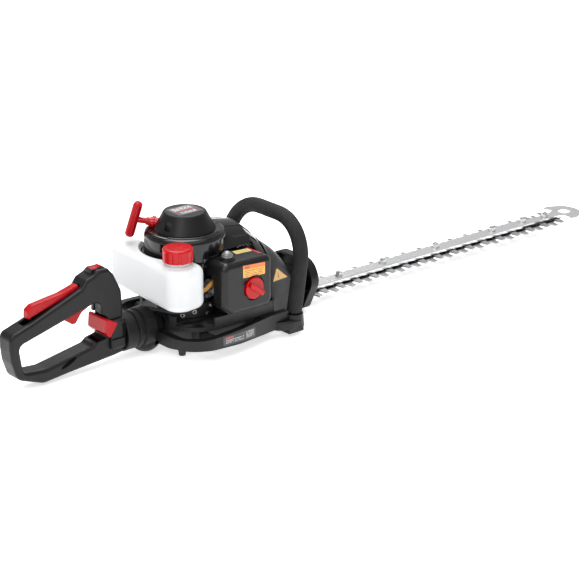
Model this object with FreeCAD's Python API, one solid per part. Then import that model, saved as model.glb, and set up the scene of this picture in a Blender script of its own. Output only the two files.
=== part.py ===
import FreeCAD, Part
import math
import os

# Petrol hedge trimmer with a double-sided blade and a rear handle that turns.
# Millimetres. +X runs forward along the blade, +Y is the operator's left, +Z is up.
# The origin lies on the resting plane, straight below the engine's upright crank axis.

V = FreeCAD.Vector

# ---- driving dimensions -------------------------------------------------------

# Blades and guide rail
TOOTH_PITCH = 35.0
TOOTH_COUNT = 16
FIRST_TOOTH_X = 240.5
TOOTH_BASE = 14.0
TOOTH_TIP = 6.0
TOOTH_REACH = 31.0
STRIP_HALF = 11.5
BLADE_STROKE = 15.0
LOWER_BLADE_Z = (18.0, 20.3)
UPPER_BLADE_Z = (20.6, 22.9)
BLADE_FRONT_X = 786.0
RAIL_Z = (23.3, 30.0)
RAIL_HALF = 12.0
RAIL_X = (112.0, 721.0)
TIP_PLATE_Z = (23.3, 26.4)
TIP_PLATE_X = (700.0, 840.0)
BOLT_X = (301.0, 394.0, 510.0, 639.0, 711.0, 765.0)
BOLT_RADIUS = 3.0

# Gear train
GEAR_MODULE = 1.25
PINION_TEETH = 14
GEAR_TEETH = 62
GEAR_X = GEAR_MODULE * (PINION_TEETH + GEAR_TEETH) / 2.0
GEAR_Z = (27.0, 35.0)
ECCENTRIC_THROW = BLADE_STROKE / 2.0
ECCENTRIC_RADIUS = 16.0
BACKLASH = 0.4
RUNNING_GAP = 0.05

# Engine
CYLINDER_Z = 100.0
BORE_RADIUS = 17.0
CRANK_THROW = 14.0
PISTON_MID_X = 66.0
CRANKCASE_Z = (70.0, 132.0)
FLYWHEEL_Z = (138.0, 156.0)
HOUSING_RADIUS = 61.0
FLANGE_RADIUS = 67.0
HOUSING_Z = (134.0, 176.0)
DOME_Z = (176.4, 203.0)
DOME_BASE_RADIUS = 45.5
DOME_TOP_RADIUS = 31.5
ARCH_RADIUS = 60.0
SHROUD_ROOF = ((0.0, 178.0), (50.0, 178.0), (86.0, 171.0), (114.0, 147.0))
SHROUD_FRONT_X = 114.0
WALL = 2.5

# Starter
PULL_ANGLE = 130.0
PULL_RISE = 5.0
ROPE_Z = 178.0
REEL_RADIUS = 33.0

# Fuel tank
TANK_X = (-92.0, -28.0)
TANK_Y = (-97.0, 88.0)
TANK_Z = (85.0, 148.0)
CAP_BASE_Z = 155.5
CAP_AT = (-59.5, -60.5)

# Air filter
COVER_X = (-8.0, 85.0)
COVER_Y = (-101.0, -45.0)
COVER_Z = (64.0, 145.0)
KNOB_AT = (48.0, 99.0)
BULB_AT = (16.0, -79.0)

# Frame and front handle
FRAME_Z = (16.0, 41.0)
FRAME_THICK = 11.0
HANDLE_TUBE = 9.0
GRIP_RADIUS = 11.8
HANDLE_FOOT_X = 137.0
HANDLE_HALF = 85.0
HANDLE_TOP_Z = 172.0
HANDLE_BEND = 62.0
HANDLE_LEAN = 9.0

# Swivel and rear handle
SWIVEL_Z = 42.0
SPIGOT_RADIUS = 15.0
BODY_HALF = 16.0
NECK_HALF = 23.0
SHELL_WALL = 3.0
TRIGGER_PIVOT = (-172.0, 111.0)
LOCKOUT_PIVOT = (-201.0, 119.0)
ROCKER_PIVOT = (-163.5, 146.0)


# ---- helpers ------------------------------------------------------------------

def box(x, y, z):
    """Box from three (low, high) pairs."""
    return Part.makeBox(x[1] - x[0], y[1] - y[0], z[1] - z[0], V(x[0], y[0], z[0]))


def rod(radius, start, end):
    """Solid cylinder between two points."""
    start, end = V(*start), V(*end)
    return Part.makeCylinder(radius, (end - start).Length, start, end - start)


def ring(outer, inner, start, end):
    """Hollow cylinder between two points."""
    return rod(outer, start, end).cut(rod(inner, start, end))


def upright(radius, z, x=0.0, y=0.0):
    """Vertical cylinder over the (low, high) pair z."""
    return rod(radius, (x, y, z[0]), (x, y, z[1]))


def cone(low_radius, high_radius, z, x=0.0, y=0.0):
    """Vertical truncated cone."""
    return Part.makeCone(low_radius, high_radius, z[1] - z[0], V(x, y, z[0]))


def place(plane, a, b, level):
    """A point of a drawing plane in space."""
    if plane == "XY":
        return V(a, b, level)
    if plane == "XZ":
        return V(a, level, b)
    return V(level, a, b)


def outline(plane, level, corners):
    """Closed wire through (a, b, corner radius) points, each corner rounded by a tangent arc."""
    count = len(corners)
    joints = []
    for i, (a, b, radius) in enumerate(corners):
        here = V(a, b, 0)
        back = V(*corners[i - 1][:2], 0) - here
        ahead = V(*corners[(i + 1) % count][:2], 0) - here
        back.normalize()
        ahead.normalize()
        half = back.getAngle(ahead) / 2.0
        if radius <= 0 or abs(half - math.pi / 2) < 1e-3:
            joints.append((here, None, here))
            continue
        reach = radius / math.tan(half)
        bisector = back + ahead
        bisector.normalize()
        middle = here + bisector * (radius / math.sin(half) - radius)
        joints.append((here + back * reach, middle, here + ahead * reach))
    edges = []
    for i, (first, middle, last) in enumerate(joints):
        if middle is not None:
            arc = [place(plane, p.x, p.y, level) for p in (first, middle, last)]
            edges.append(Part.Arc(*arc).toShape())
        following = joints[(i + 1) % count][0]
        if (following - last).Length > 1e-4:
            line = [place(plane, p.x, p.y, level) for p in (last, following)]
            edges.append(Part.LineSegment(*line).toShape())
    return Part.Wire(edges)


def slab(plane, span, corners, hole=None):
    """Flat piece: a rounded outline, with an optional hole, extruded over the (low, high) span."""
    wires = [outline(plane, span[0], corners)]
    if hole:
        wires.append(outline(plane, span[0], hole))
    face = Part.Face(wires[0])
    if hole:
        face = face.cut(Part.Face(wires[1])).Faces[0]
    return face.extrude(place(plane, 0, 0, span[1] - span[0]))


def mirrored(points):
    """Half outline in XY, from front to rear on the right side, closed by its mirror image."""
    return points + [(x, -y, r) for x, y, r in reversed(points)]


def edges_on(shape, axis, value):
    """Edges of a shape that lie in the plane where the axis has this value."""
    chosen = []
    for edge in shape.Edges:
        limits = edge.BoundBox
        low = getattr(limits, axis + "Min")
        high = getattr(limits, axis + "Max")
        if abs(low - value) < 1e-3 and abs(high - value) < 1e-3:
            chosen.append(edge)
    return chosen


def soften(shape, radius, *planes):
    """Round the edges that lie in the given (axis, value) planes."""
    edges = []
    for axis, value in planes:
        edges += edges_on(shape, axis, value)
    return shape.makeFillet(radius, edges)


def rounded_box(x, y, z, radius):
    """Box with every edge rounded."""
    solid = box(x, y, z)
    return solid.makeFillet(radius, solid.Edges)


def joined(first, *others):
    """One solid from touching or overlapping ones, with its seams removed."""
    return first.fuse(list(others)).removeSplitter()


def group(solids):
    """Separate solids that share one node."""
    return Part.makeCompound(solids)


def turned(shape, angle, centre=(0, 0, 0), axis=(0, 0, 1)):
    """Copy of a shape turned by an angle in degrees."""
    copy = shape.copy()
    copy.rotate(V(*centre), V(*axis), angle)
    return copy


def hexagon(across, x, y, z):
    """Upright hexagonal prism, by its width across flats."""
    radius = across / math.sqrt(3.0)
    corners = []
    for i in range(6):
        angle = math.radians(60.0 * i)
        corners.append((x + radius * math.cos(angle), y + radius * math.sin(angle), 0))
    return slab("XY", z, corners)


def hose(radius, points):
    """Round hose along straight runs joined by tangent arcs as large as the runs allow."""
    points = [V(*p) for p in points]
    edges = []
    last = points[0]
    for before, here, after in zip(points, points[1:], points[2:]):
        back = before - here
        ahead = after - here
        room = 0.45 * min(back.Length, ahead.Length)
        back.normalize()
        ahead.normalize()
        half = back.getAngle(ahead) / 2.0
        bend = room * math.tan(half)
        bisector = back + ahead
        bisector.normalize()
        first = here + back * room
        middle = here + bisector * (bend / math.sin(half) - bend)
        final = here + ahead * room
        edges.append(Part.LineSegment(last, first).toShape())
        edges.append(Part.Arc(first, middle, final).toShape())
        last = final
    edges.append(Part.LineSegment(last, points[-1]).toShape())
    path = Part.Wire(edges)
    section = Part.Wire(Part.makeCircle(radius, points[0], points[1] - points[0]))
    return path.makePipeShell([section], True, False)


# ---- blades, rail and tip -------------------------------------------------------

def blade(z, shift):
    """Reciprocating blade: strip with teeth on both sides, bolt slots and a slotted yoke."""
    yoke_x = GEAR_X
    strip = box((yoke_x + 20.0, BLADE_FRONT_X), (-STRIP_HALF, STRIP_HALF), z)
    teeth = []
    for i in range(TOOTH_COUNT):
        centre = FIRST_TOOTH_X + 6.0 + i * TOOTH_PITCH
        for side in (-1, 1):
            root = side * (STRIP_HALF - 1.0)
            tip = side * TOOTH_REACH
            corners = [(centre - TOOTH_BASE / 2, root, 0), (centre + TOOTH_BASE / 2, root, 0),
                       (centre + TOOTH_TIP / 2, tip, 1.5), (centre - TOOTH_TIP / 2, tip, 1.5)]
            teeth.append(slab("XY", z, corners))
    slot_half_x = ECCENTRIC_RADIUS + 2.0
    slot_half_y = ECCENTRIC_RADIUS + ECCENTRIC_THROW + 0.5
    rim = 5.0
    eye = slab("XY", z, plate_corners(yoke_x, slot_half_x + rim, slot_half_y + rim, 14.0),
               plate_corners(yoke_x, slot_half_x, slot_half_y, 10.0))
    body = joined(strip, eye, *teeth)
    slot_half = BLADE_STROKE / 2 + BOLT_RADIUS + 1.0
    for x in BOLT_X:
        slot = plate_corners(x, slot_half, BOLT_RADIUS + 0.4, BOLT_RADIUS + 0.3)
        body = body.cut(slab("XY", (z[0] - 1, z[1] + 1), slot))
    body.translate(V(shift, 0, 0))
    return body


def plate_corners(x, half_x, half_y, radius):
    """Corners of a rounded rectangle centred on the X axis."""
    return [(x - half_x, -half_y, radius), (x + half_x, -half_y, radius),
            (x + half_x, half_y, radius), (x - half_x, half_y, radius)]


def guide_rail():
    """Long bar over the blades, with rolled upper edges, stepped at the tip for the end plate."""
    low, high = RAIL_Z
    section = [(-RAIL_HALF, low, 0.8), (RAIL_HALF, low, 0.8), (RAIL_HALF, high, 3.4),
               (-RAIL_HALF, high, 3.4)]
    bar = slab("YZ", RAIL_X, section)
    step = box((TIP_PLATE_X[0] - 0.3, RAIL_X[1] + 1), (-20, 20), (low - 1, TIP_PLATE_Z[1]))
    bar = bar.cut(step)
    for x in BOLT_X[:5]:
        bar = bar.cut(upright(BOLT_RADIUS, (low - 1, high + 1), x))
    return bar


def tip_plate():
    """Anchor-shaped end plate with an oval hanging hole."""
    rear, front = TIP_PLATE_X
    corners = [(rear, -9, 2), (782, -9, 8), (800, -16, 4), (794, -34, 2.5), (808, -36, 9),
               (front - 6, -22, 14), (front, 0, 26), (front - 6, 22, 14), (808, 36, 9),
               (794, 34, 2.5), (800, 16, 4), (782, 9, 8), (rear, 9, 2)]
    hole = [(803, -9, 5.9), (821, -9, 5.9), (821, 9, 5.9), (803, 9, 5.9)]
    plate = slab("XY", TIP_PLATE_Z, corners, hole)
    for x in BOLT_X[4:]:
        plate = plate.cut(upright(BOLT_RADIUS, (TIP_PLATE_Z[0] - 1, TIP_PLATE_Z[1] + 1), x))
    return plate


def blade_bolts():
    """Bolts through blades and rail, each with a wide head below and a nut on top."""
    pieces = []
    for x in BOLT_X:
        seat = TIP_PLATE_Z[1] if x == BOLT_X[-1] else RAIL_Z[1]
        shank = upright(BOLT_RADIUS, (17.0, seat + 8.0), x)
        head = upright(8.0, (14.5, 17.7), x)
        nut = hexagon(10.0, x, 0.0, (seat + 1.2, seat + 6.0))
        washer = upright(6.2, (seat, seat + 1.2), x)
        pieces.append(joined(head, shank, nut, washer))
    return group(pieces)


# ---- gear train -----------------------------------------------------------------

def gear_blank(teeth, z):
    """Spur gear with involute flanks, its first tooth pointing along +X."""
    pitch = GEAR_MODULE * teeth / 2.0
    base = pitch * math.cos(math.radians(20.0))
    tip = pitch + 0.85 * GEAR_MODULE
    root = pitch - 1.2 * GEAR_MODULE
    half_pitch = math.pi / (2.0 * teeth) - BACKLASH / (2.0 * pitch)
    flank_turn = math.tan(math.radians(20.0)) - math.radians(20.0)
    flank = []
    start = max(base, root)
    for i in range(4):
        radius = start + (tip - start) * i / 3.0
        pressure = math.acos(min(1.0, base / radius))
        spread = half_pitch + flank_turn - (math.tan(pressure) - pressure)
        flank.append((radius, spread))
    points = []
    for tooth in range(teeth):
        middle = 2.0 * math.pi * tooth / teeth
        points.append((root, middle - flank[0][1]))
        points += [(radius, middle - spread) for radius, spread in flank]
        points += [(radius, middle + spread) for radius, spread in reversed(flank)]
        points.append((root, middle + flank[0][1]))
    ends = [V(r * math.cos(a), r * math.sin(a), z[0]) for r, a in points]
    wire = Part.makePolygon(ends + [ends[0]])
    return Part.Face(wire).extrude(V(0, 0, z[1] - z[0]))


def drive_gear():
    """Large gear with its shaft and two opposed eccentrics."""
    wheel = gear_blank(GEAR_TEETH, GEAR_Z)
    web = ring(33.0, 15.0, (0, 0, GEAR_Z[1] - 2.5), (0, 0, GEAR_Z[1]))
    wheel = wheel.cut(web)
    shaft = upright(6.0, (4.6, 45.4))
    spacer = upright(12.0, (23.3, GEAR_Z[0]))
    low = upright(ECCENTRIC_RADIUS, (LOWER_BLADE_Z[0] - 0.3, LOWER_BLADE_Z[1] + 0.15))
    low.translate(V(-ECCENTRIC_THROW, 0, 0))
    high = upright(ECCENTRIC_RADIUS, (LOWER_BLADE_Z[1] + 0.15, 23.3))
    high.translate(V(ECCENTRIC_THROW, 0, 0))
    wheel = joined(wheel, shaft, spacer, low, high)
    wheel.translate(V(GEAR_X, 0, 0))
    return wheel


def clutch_drum():
    """Clutch drum and its shaft, with the pinion cut on it, a tooth gap facing the large gear."""
    cup = upright(31.0, (50.0, 67.0)).cut(upright(28.0, (53.0, 68.0)))
    shaft = upright(5.0, (4.6, 51.0))
    half_tooth = 180.0 / PINION_TEETH
    pinion = turned(gear_blank(PINION_TEETH, GEAR_Z), half_tooth)
    return joined(cup, shaft, pinion)


def clutch_shoes():
    """Two centrifugal shoes on a carrier at the crankshaft's lower end."""
    band = ring(25.5, 12.5, (0, 0, 54.5), (0, 0, 65.0))
    gap = box((-30, 30), (-3.0, 3.0), (50, 70))
    shoes = band.cut(gap)
    carrier = ring(12.0, 7.5, (0, 0, 54.5), (0, 0, 65.0))
    bridge = box((-18.0, 18.0), (-2.6, 2.6), (56.0, 63.0)).cut(upright(7.5, (50, 70)))
    return group(shoes.Solids + [joined(carrier, bridge)])


def shaft_bearings():
    """Ball bearings of gear shaft, drum shaft and crankshaft, drawn as plain rings."""
    seats = [(GEAR_X, 6.0, 12.0, 4.6, 6.0), (GEAR_X, 6.0, 12.0, 39.6, 6.0), (0.0, 5.0, 11.0, 4.6, 6.0),
             (0.0, 5.0, 11.0, 39.6, 6.0), (0.0, 7.5, 16.0, 73.0, 10.0), (0.0, 7.5, 16.0, 117.0, 10.0)]
    pieces = []
    for x, shaft, outer, low, height in seats:
        pieces.append(ring(outer, shaft + RUNNING_GAP, (x, 0, low), (x, 0, low + height)))
    return group(pieces)


def case_corners(inset=0.0):
    """Plan outline of the gear case."""
    return mirrored([(198.0 - inset, -30.0 + inset, 6.0), (150.0, -34.0 + inset, 40.0),
                     (92.0, -52.0 + inset, 30.0), (-52.0 + inset, -52.0 + inset, 34.0 - inset)])


def gear_case_lower():
    """Bottom cover of the gear case, with the flat sole and the pegs that the machine stands on."""
    body = slab("XY", (6.0, 14.0), case_corners())
    sole = slab("XY", (0.0, 7.0), mirrored([(190.0, -24.0, 10.0), (-10.0, -26.0, 14.0)]))
    pegs = [cone(5.0, 7.0, (0.0, 14.0), -43.0, side * 45.0) for side in (-1, 1)]
    body = joined(body, sole, *pegs)
    body = body.cut(slab("XY", (10.0, 15.0), case_corners(4.0)))
    for x, radius in ((GEAR_X, 12.0), (0.0, 11.0)):
        body = body.fuse(upright(radius + 3.0, (5.0, 11.0), x)).cut(upright(radius, (4.6, 15.0), x))
    return body.removeSplitter()


def gear_case_upper():
    """Upper half of the gear case, open at the front for the blades."""
    body = slab("XY", (14.0, 46.0), case_corners())
    body = body.cut(slab("XY", (13.0, 39.6), case_corners(4.0)))
    slot = box((180.0, 210.0), (-RAIL_HALF - 1.0, RAIL_HALF + 1.0), (13.0, RAIL_Z[1] + 0.5))
    body = body.cut(slot)
    for x, radius in ((GEAR_X, 12.0), (0.0, 11.0)):
        body = body.cut(upright(radius, (39.0, 47.0), x))
    lugs = []
    for side in (-1, 1):
        for x in (-18.0, 84.0):
            lugs.append(box((x - 10, x + 10), sorted((side * 49.0, side * 66.0)), (18.0, 38.0)))
    body = joined(body, *lugs)
    return body.cut(slab("XY", (13.0, 39.6), case_corners(4.0)))


# ---- engine ---------------------------------------------------------------------

def crankshaft():
    """Upright crankshaft: journals, two webs, the crank pin and its needle cage."""
    lower = upright(7.5, (54.0, 85.0))
    upper = upright(7.5, (115.0, 166.0))
    webs = [upright(26.0, (84.5, 91.5)), upright(26.0, (108.5, 115.5))]
    pin = upright(5.0, (91.0, 109.0), 0.0, CRANK_THROW)
    needles = ring(7.5, 5.0, (0, CRANK_THROW, 95.0), (0, CRANK_THROW, 105.0))
    return group([joined(lower, upper, pin, *webs), needles])


def crankcase():
    """Crankcase with a round chamber and a flat mouth for the cylinder."""
    body = upright(40.0, CRANKCASE_Z)
    mouth = box((10.0, 42.0), (-30.0, 30.0), CRANKCASE_Z)
    body = joined(body, mouth)
    body = body.cut(upright(28.0, (83.0, 117.0)))
    body = body.cut(upright(16.0, (73.0, 127.0)))
    body = body.cut(upright(9.0, (69.0, 133.0)))
    return body.cut(rod(BORE_RADIUS + 1.5, (5, 0, CYLINDER_Z), (43, 0, CYLINDER_Z)))


def clutch_housing():
    """Cup around the clutch, between gear case and crankcase."""
    body = upright(43.0, (50.0, 69.8)).fuse(upright(48.0, (46.2, 50.0)))
    body = body.cut(upright(33.0, (49.0, 70.0)))
    return body.cut(upright(12.5, (46.0, 50.0))).removeSplitter()


def engine_cylinder():
    """Horizontal cylinder with cooling fins, plug boss and port flanges."""
    barrel = rod(24.0, (42, 0, CYLINDER_Z), (112, 0, CYLINDER_Z))
    foot = box((42.0, 47.0), (-28.0, 28.0), (73.0, 127.0))
    parts = [foot]
    for i in range(10):
        x = 54.0 + i * 6.2
        fin = slab("YZ", (x, x + 2.2), [(-36, 66, 14), (36, 66, 14), (36, 134, 14), (-36, 134, 14)])
        parts.append(fin)
    parts.append(box((50.0, 82.0), (-40.0, 0.0), (84.0, 116.0)))
    parts.append(box((56.0, 90.0), (0.0, 40.0), (82.0, 118.0)))
    parts.append(rod(9.0, (110, 0, CYLINDER_Z), (116, 0, CYLINDER_Z)))
    body = joined(barrel, *parts)
    body = body.cut(rod(BORE_RADIUS, (41, 0, CYLINDER_Z), (102, 0, CYLINDER_Z)))
    body = body.cut(rod(5.0, (101, 0, CYLINDER_Z), (117, 0, CYLINDER_Z)))
    body = body.cut(rod(8.0, (66, 41, CYLINDER_Z), (66, 16, CYLINDER_Z)))
    return body.cut(rod(7.0, (60, -41, CYLINDER_Z), (60, -16, CYLINDER_Z)))


def piston():
    """Piston at mid stroke, with its wrist pin across it."""
    x = PISTON_MID_X
    body = rod(BORE_RADIUS - RUNNING_GAP, (x - 14, 0, CYLINDER_Z), (x + 14, 0, CYLINDER_Z))
    body = body.cut(rod(13.5, (x - 15, 0, CYLINDER_Z), (x + 9, 0, CYLINDER_Z)))
    for groove in (x + 8.0, x + 11.0):
        cut = ring(BORE_RADIUS + 1, BORE_RADIUS - 1.2, (groove, 0, CYLINDER_Z), (groove + 1.2, 0, CYLINDER_Z))
        body = body.cut(cut)
    pin = upright(4.0, (CYLINDER_Z - 14.5, CYLINDER_Z + 14.5), x)
    return joined(body, pin)


def connecting_rod():
    """Little end and shank. The big end's eye is left open where the crank pin passes."""
    x = PISTON_MID_X
    eye = ring(8.0, 4.0, (x, 0, 96), (x, 0, 104))
    shank = box((34.5, x - 6.0), (-4.0, 4.0), (96.5, 103.5))
    return joined(eye, shank)


def spark_plug():
    """Spark plug screwed into the head."""
    z = CYLINDER_Z
    thread = rod(5.0, (104, 0, z), (116, 0, z))
    collar = rod(8.5, (116, 0, z), (123, 0, z))
    insulator = rod(5.0, (123, 0, z), (142, 0, z))
    terminal = rod(2.5, (142, 0, z), (147, 0, z))
    return joined(thread, collar, insulator, terminal)


def ignition_coil():
    """Ignition coil beside the flywheel's rim."""
    core = box((60.5, 68.0), (-18.0, 18.0), (143.0, 150.0))
    winding = rounded_box((68.0, 86.0), (-11.0, 11.0), (140.0, 157.0), 3.0)
    return joined(core, winding)


def ignition_lead():
    """High-tension lead with its moulded plug cap."""
    z = CYLINDER_Z
    cap = rod(8.0, (128, 0, z), (152, 0, z)).cut(rod(5.2, (127, 0, z), (148, 0, z)))
    port = rod(5.0, (148, 6.0, z), (148, 18.0, z))
    cap = cap.fuse(port).cut(rod(5.2, (127, 0, z), (148, 0, z)))
    points = [(148.0, 17.0, z), (148.0, 28.0, z), (138.0, 36.0, 106.0), (122.0, 34.0, 120.0),
              (106.0, 24.0, 132.0), (96.0, 11.0, 142.0), (84.0, 3.0, 148.0)]
    body = joined(cap, hose(2.8, points)).cut(ignition_coil()).cut(engine_cylinder())
    return max(body.Solids, key=lambda solid: solid.Volume)


def flywheel():
    """Flywheel fan: rim, disc and upright blades."""
    low, high = FLYWHEEL_Z
    disc = upright(55.0, (low, low + 5.0))
    hub = upright(16.0, (low, high + 4.0))
    parts = [hub]
    for i in range(18):
        vane = box((26.0, 53.0), (-1.1, 1.1), (low + 4.0, high))
        parts.append(turned(vane, i * 20.0))
    body = joined(disc, *parts)
    return body.cut(upright(7.5, (low - 1, high + 5)))


def roof_limit(start, end, inset):
    """Everything below a crowned roof that follows the straight line from start to end in XZ."""
    slope = (end[1] - start[1]) / (end[0] - start[0])
    low, high = -30.0, 140.0
    top = start[1] + slope * (low - start[0]) - inset * math.sqrt(1.0 + slope * slope)
    half = ARCH_RADIUS - inset
    section = outline("YZ", low, [(-half, -100.0, 0), (half, -100.0, 0), (half, top, half - 0.5),
                                  (-half, top, half - 0.5)])
    return Part.Face(section).extrude(V(high - low, 0, slope * (high - low)))


def shroud_solid(inset):
    """Outer form of the shroud, or its inner form when drawn in by the wall thickness."""
    low = HOUSING_Z[0] - (5.0 if inset else 0.0)
    top = HOUSING_Z[1] - inset
    drum = upright(HOUSING_RADIUS - inset, (low, top))
    if not inset:
        drum = soften(drum, 9.0, ("Z", top))
    radius = ARCH_RADIUS - inset
    front = SHROUD_FRONT_X + (5.0 if inset else 0.0)
    arch = box((0.0, front), (-radius, radius), (96.0, top + 2.0))
    for start, end in zip(SHROUD_ROOF, SHROUD_ROOF[1:]):
        arch = arch.common(roof_limit(start, end, inset))
    return joined(drum, arch)


def engine_shroud():
    """Fan housing with its notched flange, running forward over the cylinder."""
    flange = upright(FLANGE_RADIUS, (134.0, 140.0))
    for i in range(12):
        notch = upright(4.0, (130.0, 150.0), FLANGE_RADIUS + 1.0)
        flange = flange.cut(turned(notch, 15.0 + i * 30.0))
    body = joined(shroud_solid(0.0), flange).cut(shroud_solid(WALL))
    seat = upright(DOME_BASE_RADIUS + 0.3, (HOUSING_Z[1], HOUSING_Z[1] + 5.0))
    body = body.cut(upright(34.0, (150.0, 180.0))).cut(seat)
    clear = box((COVER_X[0] - 4, COVER_X[1] + 4), (-110.0, COVER_Y[1] + 4), (90.0, COVER_Z[1] + 3.0))
    body = body.cut(clear)
    for i in range(5):
        x = 90.0 + i * 4.6
        body = body.cut(box((x, x + 2.0), (-26.0, 34.0), (140.0, 190.0)))
    return body.cut(box((-30, 115), (38.0, 80.0), (90.0, 120.0)))


def starter_dome():
    """Starter housing: a tapered dome with a rope mouth, screw pockets and the reel's pin."""
    low, high = DOME_Z
    body = cone(DOME_BASE_RADIUS, DOME_TOP_RADIUS, DOME_Z)
    body = soften(body, 3.5, ("Z", high))
    inner = cone(DOME_BASE_RADIUS - 3.0, DOME_TOP_RADIUS - 3.0, (low, high - 3.0))
    body = body.cut(inner)
    for angle in (-15.0, -165.0, 75.0):
        pocket = turned(rounded_box((36.5, 60.0), (-5.5, 5.5), (low + 5.0, low + 24.0), 2.0), angle)
        post = turned(box((30.5, 37.5), (-6.5, 6.5), (low, low + 20.0)), angle)
        post = post.common(cone(DOME_BASE_RADIUS - 0.5, DOME_TOP_RADIUS - 0.5, DOME_Z))
        body = body.fuse(post).cut(pocket)
    mouth = aimed(rod(3.0, (20, 0, 0), (60, 0, 0)))
    pin = upright(5.0 - RUNNING_GAP, (170.0, high - 2.0))
    return joined(body.cut(mouth), pin)


def aimed(shape):
    """Turn a shape drawn along +X from the origin onto the starter rope's line."""
    copy = turned(turned(shape, -PULL_RISE, axis=(0, 1, 0)), PULL_ANGLE)
    copy.translate(V(0, 0, ROPE_Z))
    return copy


def rope_guide():
    """Collar where the rope leaves the dome."""
    body = rod(7.5, (36, 0, 0), (52, 0, 0)).fuse(rod(9.5, (45, 0, 0), (49, 0, 0)))
    body = aimed(body.removeSplitter().cut(rod(3.0, (30, 0, 0), (60, 0, 0))))
    body = body.cut(cone(DOME_BASE_RADIUS, DOME_TOP_RADIUS, DOME_Z)).cut(upright(62.0, (100.0, DOME_Z[0])))
    return max(body.Solids, key=lambda solid: solid.Volume)


def starter_reel():
    """Reel with two flanges."""
    core = upright(REEL_RADIUS - 6.0, (180.0, 190.0))
    low = upright(REEL_RADIUS - 4.5, (178.5, 180.5))
    hub = upright(9.0, (169.0, 178.6))
    return joined(core, low, hub).cut(upright(5.0, (168.0, 193.0)))


def recoil_spring():
    """Flat return spring, wound under the dome's roof, drawn as a ring."""
    return ring(22.0, 7.0, (0, 0, 193.5), (0, 0, 198.5))


def starter_handle():
    """Pull handle: a flattened cross bar on a short stem."""
    stem = rod(4.5, (54.0, 0, 0), (76.0, 0, 0))
    neck = rod(6.0, (52.8, 0, 0), (58.0, 0, 0))
    bar = box((70.0, 84.0), (-8.0, 8.0), (-28.5, 28.5))
    bar = turned(bar.makeFillet(6.0, bar.Edges), -12.0, (77.0, 0, 0), (0, 1, 0))
    return aimed(joined(bar, stem, neck).cut(rod(1.8, (50.0, 0, 0), (61.0, 0, 0))))


def starter_rope():
    """Short free run of rope between the reel's rim and the handle."""
    return aimed(rod(1.5, (38.0, 0, 0), (60.9, 0, 0)))


def muffler():
    """Exhaust box bolted to the left of the cylinder."""
    body = rounded_box((44.0, 104.0), (44.0, 77.0), (66.0, 116.0), 8.0)
    return joined(body, box((56.0, 90.0), (40.0, 46.0), (82.0, 112.0)))


def muffler_guard():
    """Slotted heat guard around the exhaust box."""
    outer = rounded_box((38.0, 110.0), (40.0, 83.0), (60.0, 121.0), 10.0)
    inner = rounded_box((41.0, 107.0), (36.0, 80.0), (63.0, 118.0), 8.0)
    body = outer.cut(inner).cut(box((30.0, 115.0), (35.0, 52.0), (55.0, 140.0)))
    for i in range(5):
        z = 72.0 + i * 9.0
        body = body.cut(box((52.0, 96.0), (75.0, 90.0), (z, z + 4.0)))
    clear = shroud_solid(-0.5)
    return max(body.cut(clear).Solids, key=lambda solid: solid.Volume)


# ---- carburettor side -----------------------------------------------------------

def intake_insulator():
    """Heat block between cylinder and carburettor."""
    body = box((48.0, 72.0), (-46.0, -40.0), (88.0, 112.0))
    return body.cut(rod(7.0, (60, -47, CYLINDER_Z), (60, -39, CYLINDER_Z)))


def carburettor():
    """Diaphragm carburettor with its linkage side towards the tank."""
    body = rounded_box((10.0, 74.0), (-64.0, -46.0), (84.0, 116.0), 2.0)
    pump = box((16.0, 68.0), (-62.0, -48.0), (116.0, 121.0))
    dish = rod(12.0, (1.0, -55.0, 99.0), (10.0, -55.0, 99.0))
    arm = box((-4.0, 1.0), (-63.0, -51.0), (92.0, 97.0))
    screw = rod(2.5, (-9.0, -60.0, 88.0), (10.0, -60.0, 88.0))
    body = joined(body, pump, dish, arm, screw)
    return body.cut(rod(7.0, (60, -47, CYLINDER_Z), (60, -39, CYLINDER_Z)))


def filter_base():
    """Plate behind the foam filter."""
    body = slab("XZ", (-69.0, -65.5), [(22, 67, 4), (82, 67, 10), (82, 142, 8), (22, 142, 4)])
    body = body.common(cover_form(WALL + 0.2))
    return body.cut(rod(7.0, (44, -75, 100), (44, -60, 100)))


def air_filter():
    """Foam filter block."""
    body = rounded_box((23.0, 78.0), (-92.0, -69.3), (72.0, 137.0), 4.0)
    return body.cut(rod(5.0, (KNOB_AT[0], -95, KNOB_AT[1]), (KNOB_AT[0], -60, KNOB_AT[1])))


def cover_form(inset):
    """Cover's outer form, or its inner form when drawn in."""
    x0, x1 = COVER_X[0] + inset, COVER_X[1] - inset
    z0, z1 = COVER_Z[0] + inset, COVER_Z[1] - inset
    back = COVER_Y[1] + (10.0 if inset else 0.0)
    corners = [(x0 + 16, z0, 12), (x1, z0, 14), (x1, z1 - 3, 12), (x0, z1, 12), (x0, z0 + 14, 10)]
    body = slab("XZ", (COVER_Y[0] + inset, back), corners)
    body = soften(body, 9.0, ("Y", COVER_Y[0] + inset))
    return body.cut(upright(57.5 + inset, (135.0 - inset, 200.0)))


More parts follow.
